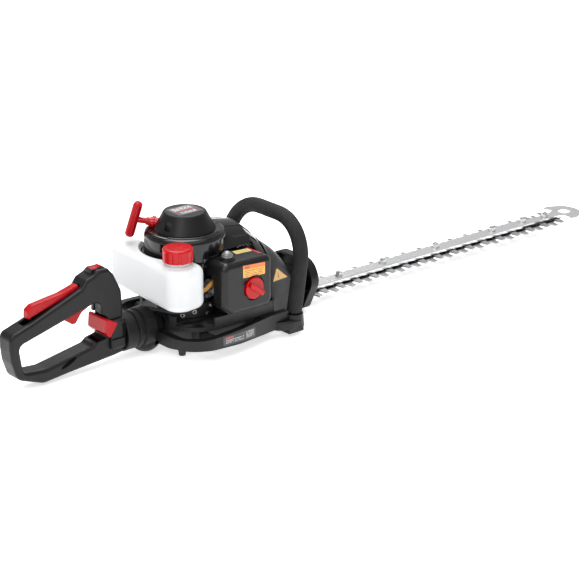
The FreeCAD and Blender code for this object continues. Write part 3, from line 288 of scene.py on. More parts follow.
@dataclass(frozen=True)
class DrawnSteel:
    """Brushed or ground steel with fine scratches along one axis."""

    name: str
    colour: Colour
    roughness: float = 0.3
    stretch: Vec3 = (0.04, 1.0, 1.0)
    scratch: float = 0.00004
    tarnish: Colour = (0.3, 0.29, 0.27)
    tarnish_share: float = 0.35

    def make(self) -> bpy.types.Material:
        """Build the material."""
        board = Board(self.name)
        lines = board.noise(board.place(self.stretch), 2600.0, 3.0, 0.7)
        patch = board.noise(board.place(), 35.0, 5.0, 0.62)
        share = board.remap(patch, 0.0, self.tarnish_share, 0.45, 0.72)
        base = board.blend(share, self.colour, self.tarnish)
        board.join(base, board.shader.inputs["Base Color"])
        board.join(board.remap(lines, self.roughness - 0.08, self.roughness + 0.14),
                   board.shader.inputs["Roughness"])
        board.bump(lines, self.scratch, 0.55)
        board.set(Metallic=1.0)
        return board.material


@dataclass(frozen=True)
class BladeSteel:
    """Ground blade steel: pale teeth, and a strip along the middle darkened by painted shadow."""

    name: str
    tooth: Colour = (0.5, 0.5, 0.51)
    shaded_strip: Colour = (0.03, 0.03, 0.032)
    inner: float = 0.0145
    outer: float = 0.0185

    def make(self) -> bpy.types.Material:
        """Build the material."""
        board = Board(self.name)
        place = board.place()
        # Painted shadow: the colour is dark near the blade's middle and pale out on the teeth, with a noisy
        # edge.
        across = board.math("ABSOLUTE", board.axes(place)[1])
        smear_and_shade_edge = board.math("MULTIPLY", board.noise(place, 120.0, 4.0, 0.6), 0.003)
        share = board.remap(board.math("ADD", across, smear_and_shade_edge), 0.0, 1.0, self.inner, self.outer)
        board.join(board.blend(share, self.shaded_strip, self.tooth), board.shader.inputs["Base Color"])
        lines = board.noise(board.place((1.0, 0.05, 1.0)), 2600.0, 3.0, 0.7)
        board.join(board.remap(lines, 0.24, 0.46), board.shader.inputs["Roughness"])
        board.bump(lines, 0.00004, 0.5)
        board.set(Metallic=1.0)
        return board.material


@dataclass(frozen=True)
class CastMetal:
    """Die-cast or sand-cast metal with a pebbly skin."""

    name: str
    colour: Colour
    roughness: float = 0.5
    relief: float = 0.00012
    metallic: float = 1.0

    def make(self) -> bpy.types.Material:
        """Build the material."""
        board = Board(self.name)
        place = board.place()
        pebble = board.noise(place, 900.0, 4.0, 0.6)
        stain = board.noise(place, 40.0, 5.0, 0.6)
        dark = tone(self.colour, 0.62)
        board.join(board.blend(board.remap(stain, 0.0, 1.0, 0.35, 0.75), self.colour, dark),
                   board.shader.inputs["Base Color"])
        board.join(board.remap(pebble, self.roughness - 0.1, self.roughness + 0.15),
                   board.shader.inputs["Roughness"])
        board.bump(pebble, self.relief, 0.7)
        board.set(Metallic=self.metallic)
        return board.material


@dataclass(frozen=True)
class PowderCoat:
    """Powder-coated metal with an orange-peel skin."""

    name: str
    colour: Colour
    roughness: float = 0.42

    def make(self) -> bpy.types.Material:
        """Build the material."""
        board = Board(self.name)
        place = board.place()
        peel = board.noise(place, 700.0, 1.5, 0.4)
        dust = board.noise(place, 32.0, 5.0, 0.65)
        light = tone(self.colour, 1.9, 0.004)
        board.join(board.blend(board.remap(dust, 0.0, 0.8, 0.45, 0.85), self.colour, light),
                   board.shader.inputs["Base Color"])
        board.join(board.remap(dust, self.roughness - 0.06, self.roughness + 0.14),
                   board.shader.inputs["Roughness"])
        board.bump(peel, 0.00008, 0.6)
        board.set(Coat_Weight=0.05, Coat_Roughness=0.2, Specular_IOR_Level=0.28)
        return board.material


@dataclass(frozen=True)
class RubberSkin:
    """Soft rubber with a dull bloom."""

    name: str
    colour: Colour
    roughness: float = 0.62

    def make(self) -> bpy.types.Material:
        """Build the material."""
        board = Board(self.name)
        place = board.place()
        bloom = board.noise(place, 55.0, 5.0, 0.62)
        grey = tone(self.colour, 1.7, 0.006)
        board.join(board.blend(board.remap(bloom, 0.0, 0.75, 0.4, 0.8), self.colour, grey),
                   board.shader.inputs["Base Color"])
        board.join(board.remap(bloom, self.roughness - 0.08, self.roughness + 0.1),
                   board.shader.inputs["Roughness"])
        board.bump(board.noise(place, 2200.0, 2.0, 0.6), 0.00005, 0.7)
        board.set(Specular_IOR_Level=0.35)
        return board.material


@dataclass(frozen=True)
class MilkyTank:
    """Translucent polyethylene with a soft inner glow, and painted shade that darkens it towards the bottom.
    """

    name: str
    colour: Colour = (0.68, 0.69, 0.7)
    low: float = 0.085
    high: float = 0.148

    def make(self) -> bpy.types.Material:
        """Build the material."""
        board = Board(self.name)
        place = board.place()
        height = board.axes(place)[2]
        cloud = board.noise(place, 22.0, 3.0, 0.5)
        # Painted shade: the colour grows darker towards the bottom and lighter towards the top.
        level = board.math("ADD", height, board.math("MULTIPLY", cloud, 0.006))
        shade = board.remap(level, 1.0, 0.0, self.low, self.high)
        shade_colour = tone(self.colour, 0.86)
        board.join(board.blend(shade, self.colour, shade_colour), board.shader.inputs["Base Color"])
        skin = board.noise(place, 420.0, 3.0, 0.5)
        board.join(board.remap(skin, 0.3, 0.42), board.shader.inputs["Roughness"])
        board.bump(skin, 0.00008, 0.5)
        board.set(Subsurface_Weight=0.35, Subsurface_Scale=0.012, Specular_IOR_Level=0.45)
        board.shader.inputs["Subsurface Radius"].default_value = (1.0, 0.95, 0.9)
        return board.material


@dataclass(frozen=True)
class OpenFoam:
    """Open-cell filter foam."""

    name: str
    colour: Colour = (0.05, 0.05, 0.055)

    def make(self) -> bpy.types.Material:
        """Build the material."""
        board = Board(self.name)
        cells = board.add("ShaderNodeTexVoronoi")
        cells.inputs["Scale"].default_value = 700.0
        board.join(board.place(), cells.inputs["Vector"])
        light = tone(self.colour, 2.2)
        board.join(board.blend(cells.outputs["Distance"], self.colour, light),
                   board.shader.inputs["Base Color"])
        board.set(Roughness=0.95)
        board.bump(cells.outputs["Distance"], 0.0006, 1.0)
        return board.material


@dataclass(frozen=True)
class BraidedCord:
    """Braided rope, with crossing strands in the object's own space."""

    name: str
    colour: Colour = (0.75, 0.74, 0.7)

    def make(self) -> bpy.types.Material:
        """Build the material."""
        board = Board(self.name)
        first = board.add("ShaderNodeTexWave", bands_direction="DIAGONAL")
        first.inputs["Scale"].default_value = 260.0
        board.join(board.place(), first.inputs["Vector"])
        second = board.add("ShaderNodeTexWave", bands_direction="DIAGONAL")
        second.inputs["Scale"].default_value = 260.0
        board.join(board.place((-1.0, 1.0, 1.0)), second.inputs["Vector"])
        weave = board.math("MAXIMUM", first.outputs["Fac"], second.outputs["Fac"])
        dark = tone(self.colour, 0.45)
        board.join(board.blend(weave, dark, self.colour), board.shader.inputs["Base Color"])
        board.set(Roughness=0.85)
        board.bump(weave, 0.0003, 0.9)
        return board.material


@dataclass(frozen=True)
class ClearBulb:
    """Clear elastomer of the primer bulb."""

    name: str
    colour: Colour = (0.5, 0.5, 0.5)

    def make(self) -> bpy.types.Material:
        """Build the material."""
        board = Board(self.name)
        place = board.place()
        haze = board.noise(place, 160.0, 3.0, 0.5)
        dark = tone(self.colour, 0.5)
        board.join(board.blend(haze, self.colour, dark), board.shader.inputs["Base Color"])
        board.join(board.remap(haze, 0.08, 0.2), board.shader.inputs["Roughness"])
        board.set(Transmission_Weight=0.55, IOR=1.45, Coat_Weight=0.8, Coat_Roughness=0.05)
        return board.material


class LabelArt(Enum):
    """What is printed on a label; every mark is generic."""

    WARNING = "warning"
    NOTICE = "notice"
    PLAIN = "plain"
    TRIANGLE = "triangle"
    PLATE = "plate"
    EMBLEM = "emblem"


@dataclass(frozen=True)
class PrintedLabel:
    """Printed film: a ground colour, a band and rows of broken bars that stand for text."""

    name: str
    art: LabelArt
    ground: Colour
    ink: Colour
    band: Colour
    rows: float = 6.0

    def marks(self) -> tuple[tuple[Colour, bool, tuple[float, float, float, float]], ...]:
        """What is printed, in order: its colour, whether it is rows of bars, and its left, right,
        lower and upper edges."""
        ink, band = self.ink, self.band
        return {
            LabelArt.WARNING: ((band, False, (-1.0, 2.0, 0.66, 2.0)), (ink, True, (0.06, 0.94, 0.08, 0.6)),
                               (ink, False, (0.08, 0.3, 0.72, 0.92))),
            LabelArt.NOTICE: ((ink, True, (0.08, 0.92, 0.15, 0.85)),),
            LabelArt.PLAIN: (),
            LabelArt.TRIANGLE: ((ink, False, (0.375, 0.465, 0.22, 0.66)),
                                (ink, False, (-1.0, 2.0, -1.0, 0.06))),
            LabelArt.PLATE: ((ink, True, (0.08, 0.62, 0.15, 0.6)), (ink, True, (0.7, 0.95, 0.15, 0.9)),
                             (band, False, (0.08, 0.3, 0.68, 0.86))),
            LabelArt.EMBLEM: ((band, False, (-1.0, 2.0, 0.42, 0.5)), (ink, True, (0.1, 0.9, 0.56, 0.86)),
                              (ink, True, (0.2, 0.8, 0.1, 0.34))),
        }[self.art]

    def bars(self, board: Board, u: bpy.types.NodeSocket, v: bpy.types.NodeSocket,
             left: float, right: float, low: float, high: float) -> bpy.types.NodeSocket:
        """Rows of broken bars inside a rectangle of the label.

        Args:
            board: Board to add the nodes to.
            u: Position across the label, 0 to 1.
            v: Position up the label, 0 to 1.
            left: Left limit.
            right: Right limit.
            low: Lower limit.
            high: Upper limit.

        Returns:
            A socket that is 1 on a bar.
        """
        row = board.math("FRACT", board.math("MULTIPLY", v, self.rows))
        rank = board.math("FLOOR", board.math("MULTIPLY", v, self.rows))
        combine = board.add("ShaderNodeCombineXYZ")
        board.join(board.math("MULTIPLY", u, 26.0), combine.inputs[0])
        board.join(board.math("MULTIPLY", rank, 7.3), combine.inputs[1])
        broken = board.noise(combine.outputs[0], 1.0, 1.0, 0.5)
        mark = board.math("MULTIPLY", board.math("GREATER_THAN", row, 0.5),
                          board.math("GREATER_THAN", broken, 0.43))
        return board.math("MULTIPLY", mark, self.block(board, u, v, left, right, low, high))

    @staticmethod
    def block(board: Board, u: bpy.types.NodeSocket, v: bpy.types.NodeSocket,
              left: float, right: float, low: float, high: float) -> bpy.types.NodeSocket:
        """A plain rectangle of the label.

        Args:
            board: Board to add the nodes to.
            u: Position across the label, 0 to 1.
            v: Position up the label, 0 to 1.
            left: Left limit.
            right: Right limit.
            low: Lower limit.
            high: Upper limit.

        Returns:
            A socket that is 1 inside the rectangle.
        """
        inside = board.math("GREATER_THAN", u, left)
        for value, operation, limit in ((u, "LESS_THAN", right), (v, "GREATER_THAN", low),
                                        (v, "LESS_THAN", high)):
            inside = board.math("MULTIPLY", inside, board.math(operation, value, limit))
        return inside

    def make(self) -> bpy.types.Material:
        """Build the material."""
        board = Board(self.name)
        u, v, _ = board.axes(board.place(output="UV"))
        worn = board.noise(board.place(), 90.0, 4.0, 0.6)
        tint = tone(self.ground, 0.86)
        colour = board.blend(worn, self.ground, tint)
        for paint, bars, edges in self.marks():
            mark = (self.bars if bars else self.block)(board, u, v, *edges)
            colour = board.mix(mark, colour, paint)
        board.join(colour, board.shader.inputs["Base Color"])
        board.join(board.remap(worn, 0.26, 0.42), board.shader.inputs["Roughness"])
        board.set(Coat_Weight=0.3, Coat_Roughness=0.15)
        return board.material


BLACK: Colour = (0.0045, 0.0045, 0.005)
RED: Colour = (0.42, 0.0005, 0.004)


@dataclass
class Wardrobe:
    """Every finish of the machine, built once and handed out by name."""

    finishes: tuple[Any, ...] = (
        MouldedPlastic("satin_black", BLACK, 0.42, 0.00005, specular=0.24),
        MouldedPlastic("handle_black", (0.0055, 0.0055, 0.006), 0.38, 0.00004, 1300.0, specular=0.25),
        MouldedPlastic("gloss_black", (0.003, 0.003, 0.0035), 0.13, 0.00001, 300.0, 0.25, specular=0.32),
        MouldedPlastic("cover_black", (0.005, 0.005, 0.0055), 0.32, 0.00004, 1700.0, specular=0.32),
        MouldedPlastic("red_gloss", RED, 0.22, 0.000015, 300.0, 0.1, 0.12, 0.25),
        MouldedPlastic("red_satin", (0.36, 0.0006, 0.005), 0.3, 0.00003, 900.0, 0.05, 0.12, 0.2),
        MouldedPlastic("grey_insulator", (0.09, 0.09, 0.1), 0.55, 0.00005),
        # Near-black: painted shade inside the screw sockets.
        MouldedPlastic("painted_socket_shade", (0.003, 0.003, 0.003), 0.7, 0.00005),
        DrawnSteel("rail_steel", (0.95, 0.95, 0.96), 0.26, (0.02, 1.0, 1.0), 0.000006, (0.8, 0.8, 0.79), 0.3),
        BladeSteel("tooth_steel"),
        DrawnSteel("zinc_plate", (0.55, 0.55, 0.54), 0.3, (1.0, 1.0, 0.2), 0.00001),
        DrawnSteel("gear_steel", (0.5, 0.5, 0.5), 0.35, (1.0, 1.0, 0.1), 0.00003),
        CastMetal("cast_alloy", (0.58, 0.58, 0.59), 0.48),
        CastMetal("dark_casting", (0.03, 0.03, 0.032), 0.5, 0.00015, 0.3),
        CastMetal("scorched_steel", (0.13, 0.115, 0.105), 0.6, 0.0001, 0.8),
        PowderCoat("frame_coat", (0.003, 0.003, 0.0035), 0.38),
        PowderCoat("guard_coat", (0.008, 0.008, 0.009), 0.5),
        RubberSkin("grip_rubber", (0.005, 0.005, 0.0055)),
        RubberSkin("amber_hose", (0.35, 0.17, 0.03), 0.35),
        RubberSkin("cable_black", (0.01, 0.01, 0.011), 0.4),
        MilkyTank("milky_tank"),
        OpenFoam("filter_foam"),
        BraidedCord("starter_braid"),
        ClearBulb("primer_clear", (0.35, 0.35, 0.36)),
    )
    made: dict[str, bpy.types.Material] = field(default_factory=dict)

    def __post_init__(self) -> None:
        """Build every finish."""
        for finish in self.finishes:
            self.made[finish.name] = finish.make()

    def __getitem__(self, name: str) -> bpy.types.Material:
        """Material of this name."""
        return self.made[name]


NODE_FINISH: dict[str, tuple[str, ...]] = {
    "satin_black": ("starter_dome", "swivel_socket", "swivel_collar", "front_cover",
                    "blade_guard", "starter_reel", "filter_base"),
    "handle_black": ("rear_handle_right", "rear_handle_left", "switch_bezel"),
    "gloss_black": ("engine_shroud",),
    "cover_black": ("filter_cover",),
    "red_gloss": ("fuel_cap", "filter_knob", "rope_guide"),
    "red_satin": ("starter_handle", "throttle_trigger", "lockout_lever", "release_latch", "ignition_rocker"),
    "grey_insulator": ("intake_insulator", "spark_plug"),
    "rail_steel": ("guide_rail", "tip_plate"),
    "tooth_steel": ("upper_blade", "lower_blade"),
    "zinc_plate": ("blade_bolts", "handle_bolts", "pivot_pins", "handle_screws"),
    "gear_steel": ("drive_gear", "clutch_drum", "crankshaft", "connecting_rod", "shaft_bearings",
                   "recoil_spring"),
    "cast_alloy": ("engine_cylinder", "piston", "carburettor", "flywheel"),
    "dark_casting": ("gear_case_lower", "gear_case_upper", "clutch_housing", "crankcase", "clutch_shoes",
                     "engine_tray", "ignition_coil"),
    "scorched_steel": ("muffler",),
    "guard_coat": ("muffler_guard",),
    "frame_coat": ("main_frame", "front_handle"),
    "grip_rubber": ("front_grip", "rubber_buffers"),
    "cable_black": ("ignition_lead", "throttle_cable"),
    "amber_hose": ("fuel_hose",),
    "milky_tank": ("fuel_tank",),
    "filter_foam": ("air_filter",),
    "starter_braid": ("starter_rope",),
    "primer_clear": ("primer_bulb",),
}


def dress(nodes: dict[str, bpy.types.Object], wardrobe: Wardrobe) -> None:
    """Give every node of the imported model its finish.

    Args:
        nodes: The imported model's objects by name.
        wardrobe: The finishes.
    """
    for finish, names in NODE_FINISH.items():
        for name in names:
            mesh = nodes[name].data
            if not mesh.materials:
                mesh.materials.append(wardrobe[finish])
            for index in range(len(mesh.materials)):
                mesh.materials[index] = wardrobe[finish]
            LOG.info("%s gets %s", name, finish)


# ---------------------------------------------------------------------------
# Mesh tools
# ---------------------------------------------------------------------------

def finished(name: str, mesh: bpy.types.Mesh, material: bpy.types.Material, body: str,
             replaced: Sequence[str] = ()) -> bpy.types.Object:
    """Turn a mesh into a piece that rides on a body.

    Args:
        name: Piece name.
        mesh: Mesh in metres, in the model's frame.
        material: Its finish, used when the mesh has none.
        body: Body that carries it.
        replaced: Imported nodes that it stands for.

    Returns:
        The new object.
    """
    piece = bpy.data.objects.new(name, mesh)
    bpy.context.scene.collection.objects.link(piece)
    if not mesh.materials:
        mesh.materials.append(material)
    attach(piece, body)
    if replaced:
        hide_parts(*replaced)
    LOG.info("piece %s on %s: %d faces", name, body, len(mesh.polygons))
    return piece


def mesh_from(name: str, maker: bmesh.types.BMesh, smooth_degrees: float = 35.0) -> bpy.types.Mesh:
    """Turn a BMesh into a mesh with outward faces and smooth shading below an angle.

    Args:
        name: Mesh name.
        maker: The BMesh, freed here.
        smooth_degrees: Edges sharper than this stay crisp.

    Returns:
        The mesh.
    """
    bmesh.ops.recalc_face_normals(maker, faces=maker.faces)
    limit = math.radians(smooth_degrees)
    for face in maker.faces:
        face.smooth = True
    for edge in maker.edges:
        if len(edge.link_faces) == 2:
            edge.smooth = edge.calc_face_angle(0.0) < limit
    mesh = bpy.data.meshes.new(name)
    maker.to_mesh(mesh)
    maker.free()
    return mesh


class Surface:
    """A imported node's skin, for laying thin pieces on it."""

    def __init__(self, node: bpy.types.Object) -> None:
        """Read the node's triangles.

        Args:
            node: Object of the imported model.
        """
        mesh = node.data
        mesh.calc_loop_triangles()
        points = [vertex.co.copy() for vertex in mesh.vertices]
        triangles = [tuple(triangle.vertices) for triangle in mesh.loop_triangles]
        self.tree = BVHTree.FromPolygons(points, triangles)

    def hit(self, start: Vector, direction: Vector) -> Optional[tuple[Vector, Vector]]:
        """First point that a ray meets.

        Args:
            start: Start of the ray.
            direction: Its direction.

        Returns:
            The point and the outward normal, or None.
        """
        place, normal, _, _ = self.tree.ray_cast(start, direction)
        if place is None:
            return None
        return place, (normal if normal.dot(direction) < 0.0 else -normal)


@dataclass
class Patch:
    """A thin film laid on a surface, drawn by four corners and a laying direction."""

    name: str
    node: str
    corners: tuple[Vec3, Vec3, Vec3, Vec3]
    direction: Vec3
    finish: Any
    body: str = "machine"
    steps: int = 18
    lift: float = 0.12
    oval: bool = False

    def build(self, nodes: dict[str, bpy.types.Object]) -> None:
        """Lay the film on the node's surface and make it a piece.

        Args:
            nodes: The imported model's objects by name.
        """
        surface = Surface(nodes[self.node])
        low_left, low_right, high_right, high_left = (Vector(corner) * MM for corner in self.corners)
        direction = Vector(self.direction).normalized()
        maker = bmesh.new()
        layer = maker.loops.layers.uv.new("UVMap")
        grid: list[list[tuple[bmesh.types.BMVert, bmesh.types.BMVert, tuple[float, float]]]] = []
        for j in range(self.steps + 1):
            v = j / self.steps
            row = []
            for i in range(self.steps + 1):
                u = i / self.steps
                across, up = self.disc(u, v) if self.oval else (u, v)
                point = low_left.lerp(low_right, across).lerp(high_left.lerp(high_right, across), up)
                start = point - direction * (point.dot(direction) + 0.4)
                place, normal = surface.hit(start, direction) or (point, -direction)
                top = maker.verts.new(place + normal * self.lift * MM)
                under = maker.verts.new(place - normal * 0.1 * MM)
                row.append((top, under, (u, v)))
            grid.append(row)
        for j in range(self.steps):
            for i in range(self.steps):
                ring = (grid[j][i], grid[j][i + 1], grid[j + 1][i + 1], grid[j + 1][i])
                self.face(maker, layer, [item[0] for item in ring], [item[2] for item in ring])
                self.face(maker, layer, [item[1] for item in reversed(ring)],
                          [item[2] for item in reversed(ring)])
        border = [grid[0][i] for i in range(self.steps)]
        border += [grid[j][self.steps] for j in range(self.steps)]
        border += [grid[self.steps][i] for i in range(self.steps, 0, -1)]
        border += [grid[j][0] for j in range(self.steps, 0, -1)]
        for first, second in zip(border, border[1:] + border[:1]):
            self.face(maker, layer, [first[1], second[1], second[0], first[0]],
                      [first[2], second[2], second[2], first[2]])
        mesh = mesh_from(self.name, maker, 50.0)
        finished(self.name, mesh, self.finish.make(), self.body)

    @staticmethod
    def disc(u: float, v: float) -> tuple[float, float]:
        """Place of a square's point on the ellipse inside the square."""
        x, y = 2.0 * u - 1.0, 2.0 * v - 1.0
        return (0.5 + 0.5 * x * math.sqrt(1.0 - y * y / 2.0), 0.5 + 0.5 * y * math.sqrt(1.0 - x * x / 2.0))

    @staticmethod
    def face(maker: bmesh.types.BMesh, layer: Any, corners: Sequence[bmesh.types.BMVert],
             places: Sequence[tuple[float, float]]) -> None:
        """Add one face with its UV places.

        Args:
            maker: BMesh to add to.
            layer: UV layer.
            corners: The face's vertices.
            places: UV place of each.
        """
        made = maker.faces.new(corners)
        for loop, place in zip(made.loops, places):
            loop[layer].uv = place


# ---------------------------------------------------------------------------
# Geometry Nodes
# ---------------------------------------------------------------------------

class Recipe:
    """A Geometry Nodes tree with named inputs, built in code and baked to a plain mesh."""

    def __init__(self, name: str) -> None:
        """Start a tree with a geometry input and output.

        Args:
            name: Name of the node group.
        """
        self.tree = bpy.data.node_groups.new(name, "GeometryNodeTree")
        self.tree.interface.new_socket("Geometry", in_out="INPUT", socket_type="NodeSocketGeometry")
        self.tree.interface.new_socket("Geometry", in_out="OUTPUT", socket_type="NodeSocketGeometry")
        self.source = self.tree.nodes.new("NodeGroupInput")
        self.output = self.tree.nodes.new("NodeGroupOutput")
        self.identifiers: dict[str, str] = {}

    def number(self, name: str, default: float, kind: str = "NodeSocketFloat") -> bpy.types.NodeSocket:
        """Add a named input.

        Args:
            name: Name that the modifier shows.
            default: Default value.
            kind: Socket type.

        Returns:
            The input's socket inside the tree.
        """
        item = self.tree.interface.new_socket(name, in_out="INPUT", socket_type=kind)
        item.default_value = default
        self.identifiers[name] = item.identifier
        return self.source.outputs[name]

    def add(self, kind: str, inputs: Optional[dict[str, Any]] = None, **settings: Any) -> bpy.types.Node:
        """Add a node, set its properties, and set or link its inputs.

        Args:
            kind: Node type identifier.
            inputs: Input names with a value or a socket each.
            **settings: Property names and values.

        Returns:
            The new node.
        """
        node = self.tree.nodes.new(kind)
        for key, value in settings.items():
            setattr(node, key, value)
        for key, value in (inputs or {}).items():
            socket = node.inputs[key]
            if isinstance(value, bpy.types.NodeSocket):
                self.tree.links.new(value, socket)
            else:
                socket.default_value = value
        return node

    def math(self, operation: str, first: Any, second: Any = 0.0) -> bpy.types.NodeSocket:
        """One arithmetic step on numbers or sockets."""
        node = self.add("ShaderNodeMath", operation=operation)
        for socket, value in zip(node.inputs, (first, second)):
            if isinstance(value, bpy.types.NodeSocket):
                self.tree.links.new(value, socket)
            else:
                socket.default_value = value
        return node.outputs[0]

    def close(self, geometry: bpy.types.NodeSocket, material: bpy.types.Material) -> None:
        """End the tree with real geometry in one finish.

        Args:
            geometry: Geometry to send out.
            material: Finish to set on it.
        """
        real = self.add("GeometryNodeRealizeInstances", {"Geometry": geometry})
        dressed = self.add("GeometryNodeSetMaterial", {"Geometry": real.outputs["Geometry"],
                                                       "Material": material})
        self.tree.links.new(dressed.outputs["Geometry"], self.output.inputs["Geometry"])

    def bake(self, base: bpy.types.Object, name: str, **values: float) -> bpy.types.Mesh:
        """Run the tree on an object and keep the result as a plain mesh.

        Args:
            base: Object that feeds the tree; it is removed afterwards.
            name: Name of the mesh.
            **values: Input values by name.

        Returns:
            The baked mesh.
        """
        modifier = base.modifiers.new(name, "NODES")
        modifier.node_group = self.tree
        for key, value in values.items():
            modifier[self.identifiers[key]] = value
        graph = bpy.context.evaluated_depsgraph_get()
        graph.update()
        mesh = bpy.data.meshes.new_from_object(base.evaluated_get(graph), depsgraph=graph)
        base.modifiers.remove(modifier)
        data = base.data
        bpy.data.objects.remove(base)
        if isinstance(data, bpy.types.Mesh):
            bpy.data.meshes.remove(data)
        else:
            bpy.data.curves.remove(data)
        mesh.name = name
        return mesh


@dataclass
class FrontGrip:
    """Ribbed rubber sleeve that follows the front handle's tube."""

    foot_x: float = 137.0
    half: float = 85.0
    foot_z: float = 35.0
    pivot_z: float = 27.0
    top_z: float = 172.0
    bend: float = 62.0
    lean: float = 9.0
    radius: float = 11.6
    rib: float = 0.55
    ribs: int = 30

    def route(self) -> list[Vector]:
        """Points of the tube's axis, in metres, from the right foot to the left."""
        centre = math.radians(90.0)
        points = [Vector((0.0, -self.half, self.foot_z)), Vector((0.0, -self.half, self.top_z - self.bend))]
        for step in range(1, 17):
            angle = math.pi - centre * step / 16.0
            points.append(Vector((0.0, -self.half + self.bend + self.bend * math.cos(angle),
                                  self.top_z - self.bend + self.bend * math.sin(angle))))
        points += [Vector((0.0, -point.y, point.z)) for point in reversed(points)]
        turn = Matrix.Rotation(math.radians(self.lean), 4, "Y")
        foot = Vector((self.foot_x, 0.0, self.pivot_z))
        return [(turn @ (point - Vector((0.0, 0.0, self.pivot_z))) + foot) * MM for point in points]

    def recipe(self, material: bpy.types.Material) -> Recipe:
        """Tree that sweeps a ribbed ring along the route.

        Args:
            material: Finish of the sleeve.

        Returns:
            The finished recipe.
        """
        recipe = Recipe("ribbed_sleeve")
        radius = recipe.number("Radius", 0.011)
        depth = recipe.number("Rib depth", 0.0005)
        count = recipe.number("Ribs", 30.0)
        spacing = recipe.number("Spacing", 0.0025)
        path = recipe.add("GeometryNodeResampleCurve", {"Curve": recipe.source.outputs["Geometry"],
                                                        "Length": spacing}, mode="LENGTH")
        ring = recipe.add("GeometryNodeCurvePrimitiveCircle", {"Resolution": 240, "Radius": radius})
        share = recipe.add("GeometryNodeSplineParameter")
        turn = recipe.math("MULTIPLY", share.outputs["Factor"], 2.0 * math.pi)
        wave = recipe.math("COSINE", recipe.math("MULTIPLY", turn, count))
        soft = recipe.math("POWER", recipe.math("MULTIPLY", recipe.math("ADD", wave, 1.0), 0.5), 0.55)
        reach = recipe.math("ADD", radius, recipe.math("MULTIPLY", depth, soft))
        factor = recipe.math("DIVIDE", reach, radius)
        position = recipe.add("GeometryNodeInputPosition")
        scaled = recipe.add("ShaderNodeVectorMath", {"Scale": factor}, operation="SCALE")
        recipe.tree.links.new(position.outputs[0], scaled.inputs[0])
        shaped = recipe.add("GeometryNodeSetPosition", {"Geometry": ring.outputs["Curve"],
                                                        "Position": scaled.outputs[0]})
        tube = recipe.add("GeometryNodeCurveToMesh", {"Curve": path.outputs["Curve"],
                                                      "Profile Curve": shaped.outputs["Geometry"],
                                                      "Fill Caps": True})
        smooth = recipe.add("GeometryNodeSetShadeSmooth", {"Geometry": tube.outputs["Mesh"]})
        recipe.close(smooth.outputs["Geometry"], material)
        return recipe

    def build(self, wardrobe: Wardrobe) -> None:
        """Make the sleeve in place of the plain one."""
        curve = bpy.data.curves.new("grip_route", "CURVE")
        curve.dimensions = "3D"
        curve.twist_mode = "MINIMUM"
        points = self.route()
        spline = curve.splines.new("POLY")
        spline.points.add(len(points) - 1)
        for item, point in zip(spline.points, points):
            item.co = (*point, 1.0)
        base = bpy.data.objects.new("grip_route", curve)
        bpy.context.scene.collection.objects.link(base)
        recipe = self.recipe(wardrobe["grip_rubber"])
        mesh = recipe.bake(base, "front_grip_sleeve", **{
            "Radius": (self.radius - self.rib) * MM, "Rib depth": self.rib * MM,
            "Ribs": float(self.ribs), "Spacing": 0.0035})
        finished("front_grip_sleeve", mesh, wardrobe["grip_rubber"], "machine", ["front_grip"])


@dataclass(frozen=True)
class Fastener:
    """Where one screw sits: its seat and the way its head points."""

    seat: Vec3
    aim: Vec3


